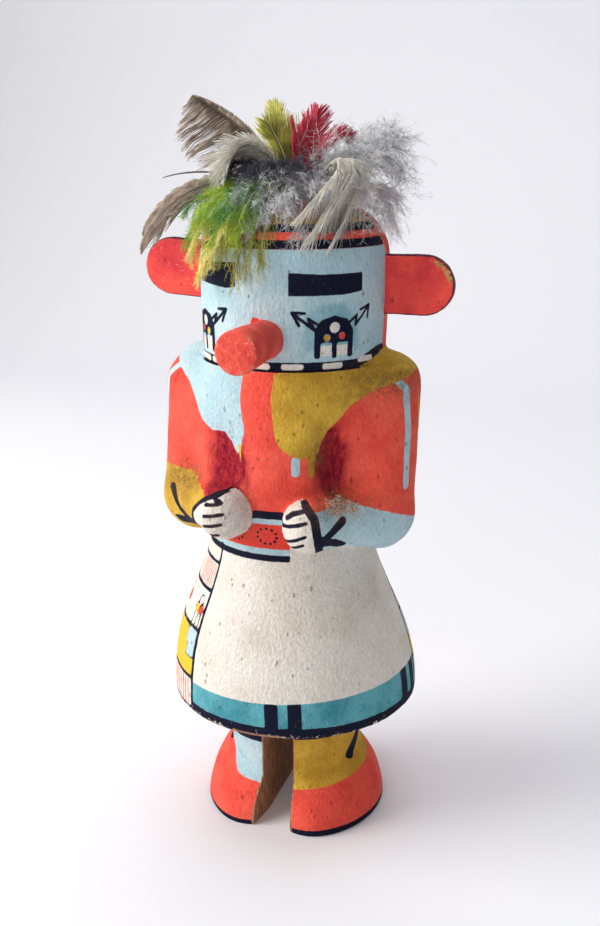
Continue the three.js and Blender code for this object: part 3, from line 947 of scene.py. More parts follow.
def brush_edge_group():
    """A painted mark's cover: full inside, none outside, with a hand-drawn edge and dry-brushed gaps."""
    inputs = {"Where": (VECTOR, None), "Distance": (FLOAT, 1.0)}
    inputs |= {"Waver": (FLOAT, 0.25), "Dryness": (FLOAT, 0.1)}
    tree, given, result = group("Brush edge", inputs, {"Cover": FLOAT})
    slow = texture_noise(tree, given["Where"], 420.0, 2.0)
    quick = texture_noise(tree, given["Where"], 1900.0, 2.0)
    waver = plus(tree, minus(tree, slow, 0.5), times(tree, minus(tree, quick, 0.5), 0.6))
    edge = plus(tree, given["Distance"], times(tree, waver, times(tree, given["Waver"], 2.0)))
    cover = remap(tree, edge, 0.12, -0.12)
    grain = texture_noise(tree, vector(tree, "MULTIPLY", given["Where"], (1.0, 1.0, 0.35)), 1500.0, 4.0, 0.7)
    gaps = remap(tree, grain, 0.62, 0.72, 0.0, 1.0)
    kept = minus(tree, 1.0, times(tree, gaps, given["Dryness"]))
    tree.links.new(times(tree, cover, kept), result["Cover"])
    return tree


def root_wood_group():
    """Open pores, upright grain and soft unevenness of painted root wood."""
    inputs = {"Where": (VECTOR, None), "Pore size": (FLOAT, 1.0), "Roughness": (FLOAT, 0.0)}
    outputs = {"Height": FLOAT, "Pores": FLOAT, "Grain": FLOAT, "Mottle": FLOAT, "Clods": FLOAT}
    tree, given, result = group("Root wood", inputs, outputs)
    size = calc(tree, "DIVIDE", 1.0, given["Pore size"])
    where = scaled(tree, given["Where"], size)
    upright = vector(tree, "MULTIPLY", where, (1.0, 1.0, 0.5))
    grain = texture_noise(tree, upright, 1150.0, 4.0, 0.62)
    pebbles = texture_noise(tree, where, 1000.0, 3.0, 0.6)
    cells = vector(tree, "MULTIPLY", where, (1.0, 1.0, 0.55))
    spotting = {"Vector": cells, "Scale": 430.0, "Randomness": 1.0}
    spots = add(tree, "ShaderNodeTexVoronoi", spotting).outputs["Distance"]
    chosen = texture_noise(tree, where, 260.0, 1.0)
    reach = remap(tree, chosen, 0.45, 0.75, 0.0, 0.24)
    pores = calc(tree, "SUBTRACT", 1.0, remap(tree, minus(tree, spots, reach), -0.05, 0.05), clamp=True)
    uneven = texture_noise(tree, where, 130.0, 3.0)
    height = plus(tree, times(tree, grain, 0.6), times(tree, pebbles, 0.8))
    height = plus(tree, height, times(tree, uneven, 0.4))
    height = minus(tree, height, times(tree, pores, 0.8))
    clods = texture_noise(tree, vector(tree, "MULTIPLY", where, (1.0, 1.0, 0.6)), 620.0, 4.0, 0.7)
    height = plus(tree, height, times(tree, times(tree, clods, given["Roughness"]), 3.0))
    mottle = texture_noise(tree, where, 75.0, 3.0, 0.6)
    made = {"Height": height, "Pores": pores, "Grain": grain, "Mottle": mottle, "Clods": clods}
    for name, value in made.items():
        tree.links.new(value, result[name])
    return tree


def worn_paint_group():
    """Where paint has rubbed or flaked off: ragged spots inside the worn places."""
    inputs = {"Where": (VECTOR, None), "Worn": (FLOAT, 0.0), "Flake size": (FLOAT, 1.0)}
    tree, given, result = group("Worn paint", inputs, {"Gone": FLOAT})
    size = calc(tree, "DIVIDE", 1.0, given["Flake size"])
    flakes = texture_noise(tree, scaled(tree, given["Where"], size), 900.0, 4.0, 0.65)
    level = plus(tree, flakes, times(tree, minus(tree, given["Worn"], 1.0), 0.5))
    tree.links.new(remap(tree, level, 0.44, 0.5), result["Gone"])
    return tree


def shared_groups():
    """The node groups that several finishes use, made once."""
    makers = {"Brush edge": brush_edge_group, "Root wood": root_wood_group, "Worn paint": worn_paint_group}
    for name, make in makers.items():
        if name not in bpy.data.node_groups:
            make()
    return {name: bpy.data.node_groups[name] for name in makers}


def new_material(name):
    material = bpy.data.materials.new(name)
    material.use_nodes = True
    tree = material.node_tree
    tree.nodes.clear()
    shader = add(tree, "ShaderNodeBsdfPrincipled")
    tree.links.new(shader.outputs[0], add(tree, "ShaderNodeOutputMaterial").inputs["Surface"])
    where = add(tree, "ShaderNodeTexCoord").outputs["Object"]
    return material, tree, shader, where


def opaque(colour):
    return (*colour, 1.0)


def link_bump(tree, shader, height, depth):
    bump = add(tree, "ShaderNodeBump", {"Height": height, "Distance": depth, "Strength": 1.0})
    tree.links.new(bump.outputs["Normal"], shader.inputs["Normal"])


def two_tone(tree, value, low, high, first, second):
    """One colour that turns into another while a value goes from low to high."""
    return mix(tree, remap(tree, value, low, high), opaque(first), opaque(second))


def brushed(tree, groups, where, mark, waver, dryness):
    """How far a painted mark covers what is under it."""
    inputs = {"Where": where, "Distance": attribute(tree, mark), "Waver": waver, "Dryness": dryness}
    return use(tree, groups["Brush edge"], inputs)["Cover"]


def rubbed_off(tree, groups, where, flake_size):
    """How far the paint is gone."""
    inputs = {"Where": where, "Worn": attribute(tree, "worn"), "Flake size": flake_size}
    return use(tree, groups["Worn paint"], inputs)["Gone"]


def painted_wood(colours):
    """Matt mineral paints over pored root wood, laid one over another in the order they were brushed."""
    groups = shared_groups()
    material, tree, shader, where = new_material("painted_wood")
    rough = attribute(tree, "rough")
    wood = use(tree, groups["Root wood"], {"Where": where, "Pore size": 1.0, "Roughness": rough})
    mottle, grain, clods = wood["Mottle"], wood["Grain"], wood["Clods"]
    ground = two_tone(tree, mottle, 0.35, 0.68, colours.vermilion, colours.deep_vermilion)
    halo = times(tree, attribute(tree, "halo"), remap(tree, mottle, 0.3, 0.7, 0.4, 0.9))
    pale = two_tone(tree, mottle, 0.4, 0.7, colours.pale_blue, colours.mist_blue)
    pale = mix(tree, halo, pale, opaque(colours.halo_blue))
    ochre = two_tone(tree, mottle, 0.38, 0.66, colours.ochre, colours.bright_ochre)
    white = two_tone(tree, mottle, 0.42, 0.7, colours.off_white, colours.warm_white)
    turquoise = two_tone(tree, mottle, 0.4, 0.66, colours.turquoise, colours.deep_turquoise)
    coats = [  # each mark's paint, how much its edge wavers in millimetres and how dry the brush was
        ("pale_blue", pale, 0.22, 0.06),
        ("ochre", ochre, 0.3, 0.05),
        ("off_white", white, 0.16, 0.0),
        ("turquoise", turquoise, 0.18, 0.1),
        ("yellow", opaque(colours.yellow), 0.14, 0.0),
        ("red", opaque(colours.mark_red), 0.16, 0.0),
        ("navy", opaque(colours.navy), 0.17, 0.12),
    ]
    dark_rough = times(tree, remap(tree, rough, 0.12, 0.5), remap(tree, clods, 0.3, 0.5, 0.5, 1.0))
    crimson = two_tone(tree, clods, 0.5, 0.7, colours.crimson, colours.dark_crimson)
    colour = mix(tree, dark_rough, ground, crimson)
    for mark, coat, waver, dryness in coats:
        colour = mix(tree, brushed(tree, groups, where, mark, waver, dryness), colour, coat)
    shade = remap(tree, grain, 0.3, 0.7, 0.86, 1.1)
    colour = mix(tree, 1.0, colour, shade, "MULTIPLY")
    colour = mix(tree, times(tree, wood["Pores"], 0.35), colour, opaque(colours.pore_brown))
    gesso = two_tone(tree, grain, 0.42, 0.6, colours.gesso, colours.bare_wood)
    colour = mix(tree, rubbed_off(tree, groups, where, 1.3), colour, gesso)
    # Brown grime and painted shade, blotched and specked, over the soft spots stored on the carving
    blotches = remap(tree, texture_noise(tree, where, 420.0, 4.0, 0.7), 0.32, 0.54)
    specks = remap(tree, texture_noise(tree, where, 1500.0, 5.0, 0.75), 0.32, 0.56)
    grime_and_shade = times(tree, attribute(tree, "grime_and_shade"), times(tree, blotches, specks))
    colour = mix(tree, times(tree, grime_and_shade, 0.95), colour, opaque(colours.grime_and_shade))
    saw = texture_noise(tree, vector(tree, "MULTIPLY", where, (1.0, 1.0, 0.2)), 900.0, 4.0, 0.6)
    bare = two_tone(tree, saw, 0.35, 0.65, colours.bare_wood, colours.dark_wood)
    colour = mix(tree, attribute(tree, "bare"), colour, bare)
    tree.links.new(colour, shader.inputs["Base Color"])
    tree.links.new(remap(tree, mottle, 0.3, 0.7, 0.62, 0.8), shader.inputs["Roughness"])
    shader.inputs["Specular IOR Level"].default_value = 0.12
    link_bump(tree, shader, wood["Height"], 0.7 * MM)
    return material


def glued_wood(name, colours, main, deep, rim, chip):
    """Red paint on a glued-on piece, with scratches, a painted rim and chips down to the wood."""
    groups = shared_groups()
    material, tree, shader, where = new_material(name)
    wood = use(tree, groups["Root wood"], {"Where": where, "Pore size": 0.8, "Roughness": 0.0})
    colour = two_tone(tree, wood["Mottle"], 0.36, 0.66, main, deep)
    streaks = texture_noise(tree, vector(tree, "MULTIPLY", where, (0.3, 1.0, 1.0)), 1500.0, 3.0, 0.6)
    scratch = times(tree, remap(tree, streaks, 0.62, 0.68), attribute(tree, "scratched"))
    colour = mix(tree, scratch, colour, opaque(colours.scratch))
    colour = mix(tree, brushed(tree, groups, where, "rim", 0.3, 0.2), colour, opaque(rim))
    colour = mix(tree, times(tree, wood["Pores"], 0.6), colour, opaque(colours.pore_brown))
    chipped = two_tone(tree, wood["Grain"], 0.4, 0.75, chip, colours.dark_wood)
    colour = mix(tree, rubbed_off(tree, groups, where, 1.6), colour, chipped)
    tree.links.new(colour, shader.inputs["Base Color"])
    tree.links.new(remap(tree, wood["Mottle"], 0.3, 0.7, 0.55, 0.75), shader.inputs["Roughness"])
    shader.inputs["Specular IOR Level"].default_value = 0.25
    link_bump(tree, shader, wood["Height"], 0.4 * MM)
    return material


def number_property(name, description, default, **kind):
    return FloatProperty(name=name, description=description, default=default, **kind)


def depth_property(name, description, default):
    return number_property(name, description, default, unit="LENGTH", subtype="DISTANCE", precision=5)


class DOLL_carving(bpy.types.PropertyGroup):
    tool_marks: depth_property("Tool marks", "How far the knife left the wood uneven", 0.28 * MM)
    gouge_marks: depth_property("Gouge marks", "How deep the marks in the gouged hollows are", 0.9 * MM)


def colour_property(name, description, default):
    return FloatVectorProperty(
        name=name, description=description, default=default, subtype="COLOR", size=3, min=0.0, max=1.0
    )


class DOLL_colours(bpy.types.PropertyGroup):
    vermilion: colour_property("Vermilion", "The body's main red", (0.93, 0.125, 0.08))
    deep_vermilion: colour_property("Deep vermilion", "Thicker patches of the main red", (0.8, 0.07, 0.05))
    crimson: colour_property("Crimson", "Stain in the gouged hollows", (0.36, 0.012, 0.03))
    dark_crimson: colour_property("Dark crimson", "Deepest stain in the hollows", (0.14, 0.006, 0.016))
    pale_blue: colour_property("Pale blue", "Mask, shoulder and sleeve", (0.42, 0.6, 0.66))
    mist_blue: colour_property("Mist blue", "Thinner patches of the pale blue", (0.54, 0.67, 0.7))
    halo_blue: colour_property("Halo blue", "Rubbed-in blue round the left cheek's mark", (0.13, 0.36, 0.44))
    ochre: colour_property("Ochre", "Shoulder, sleeve and leg", (0.52, 0.29, 0.03))
    bright_ochre: colour_property("Bright ochre", "Yellower patches of the ochre", (0.74, 0.46, 0.06))
    off_white: colour_property("Off-white", "Kilt and hands", (0.8, 0.74, 0.67))
    warm_white: colour_property("Warm white", "Yellowed patches of the kilt", (0.72, 0.64, 0.55))
    turquoise: colour_property("Turquoise", "The kilt's hem band", (0.13, 0.42, 0.48))
    deep_turquoise: colour_property("Deep turquoise", "Thicker patches of the hem band", (0.055, 0.26, 0.32))
    yellow: colour_property("Yellow", "Small panels and dots", (0.75, 0.5, 0.04))
    mark_red: colour_property("Mark red", "Belt, thin stripes and dots", (0.78, 0.06, 0.04))
    navy: colour_property("Navy", "Lines, eyes and bars", (0.004, 0.006, 0.022))
    gesso: colour_property("Gesso", "Ground coat that shows where paint has flaked", (0.72, 0.66, 0.58))
    bare_wood: colour_property("Bare wood", "Sawn root wood", (0.52, 0.28, 0.16))
    dark_wood: colour_property("Dark wood", "Darker grain of the sawn wood", (0.24, 0.115, 0.06))
    chip_wood: colour_property("Chipped wood", "Fresh wood in a chip", (0.62, 0.38, 0.13))
    # The brown of the grime, also used as painted shade in creases and hollows
    grime_and_shade: colour_property("Dirt", "Brown grime on the shoulder, sleeve and hand", (0.15, 0.08, 0.03))
    pore_brown: colour_property("Pores", "Dirt in the open pores", (0.09, 0.045, 0.03))
    ear_red: colour_property("Ear red", "The ears' bright red", (0.88, 0.075, 0.05))
    ear_deep: colour_property("Ear deep red", "Thicker patches on the ears", (0.66, 0.035, 0.05))
    ear_rim: colour_property("Ear rim", "Thin line round the ears' edge", (0.09, 0.01, 0.03))
    snout_red: colour_property("Snout red", "The snout's red", (0.86, 0.1, 0.065))
    snout_deep: colour_property("Snout deep red", "Thicker patches on the snout", (0.66, 0.05, 0.04))
    scratch: colour_property("Scratches", "Pale scratches in the red", (0.85, 0.27, 0.16))


class DOLL_OT_carving(bpy.types.Operator):
    """Carve and paint the one-piece figure: head, body, arms, kilt, legs and feet"""

    bl_idname = "doll.carving"
    bl_label = "Carved figure"

    def execute(self, context):
        figure = carve_figure()
        cut_away(figure, leg_gap_cutter())
        cut_away(figure, crown_hole_cutter())
        smooth(figure, 50)
        paint_carving(figure)
        roughen_carving(figure, context.scene.doll_carving)
        figure.data.materials.append(painted_wood(context.scene.doll_colours))
        finish_piece(figure, "painted_wood", "carved_figure")
        return {"FINISHED"}


def carve_figure():
    turn = 2 * np.arange(COLUMNS) / COLUMNS - 1
    bearing = FRONT_BEARING + 180 * (turn - CROWDING * np.sin(np.pi * turn))
    bearing = (bearing + 180) % 360 - 180
    heights, share = carving_rings().T
    z, around = np.meshgrid(heights, bearing, indexing="ij")
    radius = carved_radius(z, around) * share[:, None]
    points = at_bearing(around, radius, z)
    points[..., 0] += middle_x(z)
    return new_object("figure", *ring_surface(points))


def prism(name, plan, low, high):
    """A closed upright prism over a plan outline that runs anticlockwise."""
    count = len(plan)
    vertices = [(x, y, z) for z in (low, high) for x, y in plan]
    faces = [list(range(count))[::-1], list(range(count, 2 * count))]
    faces += [[i, (i + 1) % count, (i + 1) % count + count, i + count] for i in range(count)]
    return new_object(name, vertices, faces)


def leg_gap_cutter():
    narrow, wide, past = LEG_GAP / 2, LEG_GAP_AT_TOES / 2, FOOT_RADIUS + 2
    plan = [(-narrow, past), (-narrow, -GAP_WIDENS_AT), (-wide, -past)]
    plan += [(wide, -past), (narrow, -GAP_WIDENS_AT), (narrow, past)]
    return prism("leg_gap", plan, -1.0, HEM_HEIGHT + SAW_KERF_END)


def crown_hole_cutter():
    turns = np.linspace(0, 2 * math.pi, 24, endpoint=False)
    ring = np.stack([np.cos(turns), np.sin(turns), 0 * turns], axis=-1)
    spread, depth = CROWN_HOLE["top"] - CROWN_HOLE["bottom"], CROWN_HOLE["depth"]
    levels = [(CROWN_HOLE["bottom"], -depth), (CROWN_HOLE["top"] + spread, depth)]
    rings = [ring * radius + (0, 0, CROWN_TOP + rise) for radius, rise in levels]
    return new_object("crown_hole", *ring_surface(np.array(rings)))


def roughen_carving(thing, settings):
    """Leaves knife facets all over and deep gouge marks in the hollows."""
    points = points_of(thing)
    normals = normals_of(thing)
    z = points[:, 2]
    rough, bare = stored(thing, "rough"), stored(thing, "bare")
    marks = 0.55 * noise(points, (9, 9, 15), 3) + 0.3 * noise(points, (3.4, 3.4, 6), 5)
    marks += 0.15 * noise(points, (1.4, 1.4, 3), 7)
    gouges = noise(points, (2.6, 2.6, 4.2), 11) + 0.6 * noise(points, (1.3, 1.3, 2.2), 13)
    depth = settings.tool_marks / MM * marks * ease(z, 0.6, 3.0) * (1 - bare)
    depth -= settings.gouge_marks / MM * rough * (0.35 + np.abs(gouges))
    move_points(thing, points + normals * depth[:, None])


class DOLL_OT_snout(bpy.types.Operator):
    """Turn the round snout, with its worn rim and the ragged bead of glue at its root"""

    bl_idname = "doll.snout"
    bl_label = "Snout"

    def execute(self, context):
        colours = context.scene.doll_colours
        snout = turn_snout()
        reds = (colours.snout_red, colours.snout_deep, colours.snout_deep)
        finish = glued_wood("snout_paint", colours, *reds, chip=colours.scratch)
        snout.data.materials.append(finish)
        finish_piece(snout, "snout_paint", "snout")
        return {"FINISHED"}


def turn_snout():
    """Rings out of the face, the first of them lying on the head's round surface."""
    around = 96
    turns = np.linspace(0, 2 * math.pi, around, endpoint=False)
    length = HEAD_RADIUS + SNOUT_LENGTH
    rings = []
    for share, lift in [(0.7, -1.2), (1.03, -0.5), (1.03, 0.0), (1.02, 0.4), (1.0, 0.9), (0.99, 1.9)]:
        reach = SNOUT_RADIUS * share
        rings.append((reach, np.sqrt(HEAD_RADIUS**2 - (reach * np.cos(turns)) ** 2) + lift))
    rings += [(SNOUT_RADIUS, along) for along in np.linspace(HEAD_RADIUS + 2.6, length - SNOUT_EDGE, 44)]
    for turn in np.linspace(0, math.pi / 2, 7)[1:]:
        reach = SNOUT_RADIUS - SNOUT_EDGE * (1 - math.cos(turn))
        rings.append((reach, length - SNOUT_EDGE * (1 - math.sin(turn))))
    rings += [((SNOUT_RADIUS - SNOUT_EDGE) * share, length) for share in np.linspace(1, 0.06, 18)[1:]]
    layers = []
    for reach, along in rings:
        parts = np.broadcast_arrays(reach * np.cos(turns), -along, reach * np.sin(turns))
        layers.append(np.stack(parts, axis=-1))
    snout = new_object("snout_stub", *ring_surface(np.array(layers)))
    points = points_of(snout)
    normals = normals_of(snout)
    across = np.hypot(points[:, 0], points[:, 2])
    front = ease(-points[:, 1], length - 1.2, length - 0.2)
    root = 1 - ease(-points[:, 1], HEAD_RADIUS - 1, HEAD_RADIUS + 2.4)
    coarse, fine = noise(points, 1.9, 21), noise(points, 0.8, 23)
    depth = 0.16 * noise(points, (5, 9, 5), 25) + 0.05 * fine
    depth -= front * (0.28 * np.abs(coarse) + 0.22 * np.maximum(0, fine))
    depth += root * (0.25 * coarse + 0.15 * fine)
    store(snout, "rim", np.full(len(points), Paint.FAR))
    rim_wear = hill(across, SNOUT_RADIUS, 1.1) * hill(-points[:, 1], length, 1.3)
    store(snout, "worn", np.clip(0.62 * rim_wear + 0.3 * front, 0, 1))
    store(snout, "scratched", 0.8 * front + 0.15)
    points = points + normals * depth[:, None]
    taper = 1 - 0.1 * (1 - ease(-points[:, 1], HEAD_RADIUS - 2, length))
    points[:, [0, 2]] *= taper[:, None]
    x, y = turned(points[:, 0], points[:, 1], SNOUT_BEARING)
    move_points(snout, np.stack([x, y, points[:, 2] + SNOUT_HEIGHT], axis=-1))
    smooth(snout, 60)
    return snout


class DOLL_OT_ears(bpy.types.Operator):
    """Cut the two flat paddle ears, with painted rims, scratches and chipped edges"""

    bl_idname = "doll.ears"
    bl_label = "Ears"

    def execute(self, context):
        colours = context.scene.doll_colours
        reds = (colours.ear_red, colours.ear_deep, colours.ear_rim)
        finish = glued_wood("ear_paint", colours, *reds, chip=colours.chip_wood)
        for side in ("left", "right"):
            ear = cut_ear(side)
            ear.data.materials.append(finish)
            finish_piece(ear, "ear_paint", f"ear_{side}")
        return {"FINISHED"}


# Each ear's chip (strength, degrees round the ear, millimetres in from its edge) and other marks
EAR_CHIPS = {"left": (1.35, 42.0, 50.0, 1.7, 1.4), "right": (0.5, -60.0, 14.0, 0.0, 0.6)}
EAR_SCRATCHES = {"left": 0.2, "right": 0.7}
EAR_SEED = {"left": 31, "right": 41}


def cut_ear(side):
    """A paddle built of inset outlines, from the middle of its back round the edge to its front."""
    half, thick, edge = EAR_WIDTH / 2, EAR_THICKNESS / 2, 0.7
    inner, straight = HEAD_RADIUS - 1.5, HEAD_RADIUS + EAR_LENGTH - half
    arc = np.radians(np.linspace(-90, 90, 61))
    upward = np.linspace(inner, straight, 20)[:-1]
    inward = np.linspace(-half, half, 14)[1:-1]
    outline = [(x, -half) for x in upward]
    outline += [(straight + half * math.cos(a), half * math.sin(a)) for a in arc]
    outline += [(x, half) for x in upward[::-1]]
    outline += [(inner, z) for z in inward[::-1]]
    outline = np.array(outline)
    middle = np.stack([np.clip(outline[:, 0], inner + half, straight), np.zeros(len(outline))], axis=-1)
    quarter = np.radians(np.linspace(0, 90, 6))
    bevel = [(edge * (1 - math.cos(a)), thick - edge * (1 - math.sin(a))) for a in quarter]
    face = [(inset, thick) for inset in np.linspace(edge, half * 0.97, 24)[1:]]
    front = bevel + face
    stack = [(inset, -height) for inset, height in front[::-1]] + [(0.0, 0.0)] + front
    rings = []
    for inset, height in stack:
        flat = middle + (outline - middle) * (1 - inset / half)
        rings.append(np.stack([flat[:, 0], np.full(len(flat), -height), flat[:, 1]], axis=-1))
    ear = new_object(f"{side}_ear", *ring_surface(np.array(rings)))
    points, normals = points_of(ear), normals_of(ear)
    inset = np.append(np.repeat([inset for inset, _ in stack], len(outline)), [half, half])
    around = np.degrees(np.arctan2(points[:, 2], np.maximum(points[:, 0] - straight, 0.01)))
    chip = soft_spots(around, inset, [EAR_CHIPS[side]])
    store(ear, "rim", inset - 0.4)
    store(ear, "worn", np.clip(chip + 0.42 * hill(inset, 0.2, 0.5), 0, 1.5))
    store(ear, "scratched", np.full(len(points), EAR_SCRATCHES[side]))
    seed = EAR_SEED[side]
    depth = 0.2 * noise(points, (6, 6, 6), seed) + 0.06 * noise(points, 1.5, seed + 1)
    depth -= 0.55 * chip * (0.6 + noise(points, 1.6, seed + 2))
    points = points + normals * depth[:, None]
    out, up = turned(points[:, 0] - HEAD_RADIUS, points[:, 2], EAR_TILT[side])
    sign = 1 if side == "left" else -1
    x, y = sign * (HEAD_RADIUS + out), sign * points[:, 1]
    move_points(ear, np.stack([x, y, EAR_HEIGHT[side] + up], axis=-1))
    smooth(ear, 45)
    return ear


# Feathers

QUILL_WIDTH = 0.9
QUILL_SEAT = 0.8  # quills stand this far above the bottom of the crown's hole
QUILL_RING = CROWN_HOLE["bottom"] - QUILL_WIDTH - 0.3
QUILL_RISE = 5.0
ARCH_SHARE = 0.35
ARCH_LIFT = 4.0
OUTWARD_SHARE = 0.62
ROLL_START, ROLL_END = 0.15, 0.45
LINE_POINTS = 28

# The feather tree's inputs: kind, default and, for lengths, a true mark that they are in millimetres
FEATHER_INPUTS = {
    "Barbs": (WHOLE, 150, False),
    "Barb length": (FLOAT, 8.0, True),
    "Blade start": (FLOAT, 0.26, False),
    "Blade lead": (FLOAT, 0.8, False),
    "Fullness": (FLOAT, 0.6, False),
    "Second side": (FLOAT, 1.0, False),
    "Lean": (FLOAT, 0.55, False),
    "Tip lean": (FLOAT, 0.45, False),
    "Scatter": (FLOAT, 0.12, False),
    "Raggedness": (FLOAT, 0.12, False),
    "Splits": (FLOAT, 0.35, False),
    "Bend": (FLOAT, 0.2, False),
    "Cup": (FLOAT, 0.12, False),
    "Droop": (FLOAT, 0.05, False),
    "Curl": (FLOAT, 0.06, False),
    "Curl size": (FLOAT, 7.0, True),
    "Quill radius": (FLOAT, 0.42, True),
    "Barb radius": (FLOAT, 0.1, True),
    "Hairs": (WHOLE, 1, False),
    "Hair length": (FLOAT, 0.0, True),
    "Hair radius": (FLOAT, 0.05, True),
    "Seed": (WHOLE, 0, False),
}

VANE = {"Barbs": 300, "Barb radius": 0.19, "Scatter": 0.08, "Splits": 0.2}
COMB = {"Barbs": 150, "Splits": 0.25, "Barb radius": 0.19, "Bend": 0.35, "Curl": 0.12, "Scatter": 0.25}
DOWN = {
    "Barbs": 34,
    "Blade start": 0.06,
    "Fullness": 0.45,
    "Lean": 0.5,
    "Tip lean": 0.5,
    "Scatter": 1.1,
    "Raggedness": 0.4,
    "Splits": 0.6,
    "Bend": 0.25,
    "Droop": 0.35,
    "Curl": 0.6,
    "Curl size": 5.0,
    "Quill radius": 0.25,
    "Barb radius": 0.06,
    "Hairs": 26,
    "Hair length": 3.0,
    "Hair radius": 0.06,
}

# Each feather's line, slot, kind, tufts and looks. Bearing, roll and sway are in degrees, and reach, arch
# and tip in millimetres from the crown's middle and top. Outward is the share of the reach at the last
# bend. Tufts are how many lines fan out, over how many degrees and how far their tips rise and fall.
FEATHERS = {
    "olive_tall": {
        "line": {"bearing": -100, "reach": 10, "arch": 22, "tip": 25, "roll": -80},
        "slot": "olive_feather",
        "kind": VANE,
        "tufts": (3, 16.0, 6.0),
        "looks": {
            "Barb length": 11.0, "Barbs": 200, "Raggedness": 0.35, "Curl": 0.16, "Splits": 0.35,
            "Lean": 0.75,
        },
    },
    "brown_upper": {
        "line": {"bearing": -96, "reach": 38, "arch": 25, "tip": 34, "roll": -100},
        "slot": "brown_feather",
        "kind": VANE,
        "looks": {
            "Barb length": 25.0, "Barbs": 460, "Bend": 0.1, "Second side": 0.1, "Blade lead": 0.9,
            "Lean": 0.2, "Tip lean": 0.3, "Blade start": 0.3, "Splits": 0.3, "Quill radius": 0.6,
        },
    },
    "dark_spike": {
        "line": {"bearing": -90, "reach": 48, "arch": 8, "tip": 7},
        "slot": "dark_feather",
        "kind": VANE,
        "looks": {"Barb length": 1.8, "Lean": 1.1, "Quill radius": 0.6, "Blade start": 0.5},
    },
    "brown_lower": {
        "line": {"bearing": -76, "reach": 52, "arch": 11, "tip": -12, "roll": -60},
        "slot": "brown_feather",
        "kind": VANE,
        "tufts": (2, 3.0, 3.0),
        "looks": {
            "Barb length": 15.0, "Second side": 0.35, "Raggedness": 0.25, "Splits": 0.35,
            "Lean": 0.85,
        },
    },
    "cream_comb": {
        "line": {"bearing": -59, "reach": 25, "arch": 24, "tip": 6, "roll": 25},
        "slot": "cream_feather",
        "kind": COMB,
        "tufts": (4, 12.0, 3.0),
        "looks": {"Barb length": 10.5, "Droop": 0.25, "Blade start": 0.3, "Splits": 0.5},
    },
    "green_marabou": {
        "line": {"bearing": -38, "reach": 36, "arch": 7, "tip": -8},
        "slot": "green_feather",
        "kind": DOWN,
        "tufts": (7, 26.0, 5.0),
        "looks": {"Barb length": 10.0, "Droop": 0.5},
    },
    "black_fluff": {
        "line": {"bearing": -25, "reach": 22, "arch": 12, "tip": 7},
        "slot": "dark_feather",
        "kind": DOWN,
        "tufts": (6, 46.0, 4.0),
        "looks": {
            "Barb length": 10.0, "Barbs": 60, "Hairs": 10, "Droop": 0.35, "Barb radius": 0.16,
        },
    },
    "yellow_marabou": {
        "line": {"bearing": -34, "reach": 38, "arch": 6, "tip": -20},
        "slot": "yellow_feather",
        "kind": DOWN,
        "tufts": (4, 9.0, 4.0),
        "looks": {
            "Barb length": 9.0, "Barbs": 56, "Hairs": 20, "Blade start": 0.3, "Hair length": 1.8,
            "Lean": 0.9, "Barb radius": 0.16,
        },
    },
    "olive_marabou": {
        "line": {"bearing": -10, "reach": 36, "arch": 5, "tip": -21},
        "slot": "olive_feather",
        "kind": DOWN,
        "tufts": (4, 11.0, 4.0),
        "looks": {
            "Barb length": 9.0, "Hairs": 18, "Blade start": 0.35, "Hair length": 1.6, "Lean": 0.8,
            "Barb radius": 0.12,
        },
    },
    "grey_front": {
        "line": {"bearing": 12, "reach": 30, "arch": 9, "tip": -5},
        "slot": "grey_feather",
        "kind": DOWN,
        "tufts": (7, 34.0, 5.0),
        "looks": {"Barb length": 10.0, "Droop": 0.3},
    },
    "red_left": {
        "line": {"bearing": 60, "reach": 1.5, "arch": 15, "tip": 21, "roll": 10},
        "slot": "red_feather",
        "kind": VANE,
        "looks": {
            "Barb length": 12.5, "Raggedness": 0.1, "Splits": 0.2, "Blade lead": 1.3, "Lean": 0.7,
            "Blade start": 0.15,
        },
    },
    "cream_curl": {
        "line": {"bearing": 84, "sway": -57, "outward": 1.0, "reach": 35, "arch": 22, "tip": -9},
        "slot": "cream_feather",
        "kind": COMB,
        "tufts": (5, 9.0, 4.0),
        "looks": {
            "Barb length": 9.0, "Droop": 0.5, "Raggedness": 0.5, "Lean": 0.6, "Curl": 0.3,
            "Barb radius": 0.13,
        },
    },
    "pale_down": {
        "line": {"bearing": 88, "reach": 34, "arch": 6, "tip": -3},
        "slot": "pale_down_feather",
        "kind": DOWN,
        "tufts": (6, 26.0, 5.0),
        "looks": {"Barb length": 14.0, "Raggedness": 0.7, "Droop": 0.2, "Curl": 0.8},
    },
    "grey_down": {
        "line": {"bearing": 104, "reach": 36, "arch": 16, "tip": 15, "roll": 5},
        "slot": "grey_feather",
        "kind": DOWN,
        "tufts": (7, 26.0, 8.0),
        "looks": {
            "Barb length": 16.0, "Raggedness": 0.75, "Droop": 0.15, "Scatter": 1.5, "Curl": 0.8,
            "Hair length": 3.4,
        },
    },
    "red_right": {
        "line": {"bearing": 146, "reach": 17, "arch": 19, "tip": 25, "roll": 20},
        "slot": "red_feather",
        "kind": VANE,
        "tufts": (2, 24.0, -6.0),
        "looks": {
            "Barb length": 10.5, "Raggedness": 0.2, "Splits": 0.35, "Blade lead": 1.3, "Lean": 0.8,
            "Blade start": 0.15,
        },
    },
}


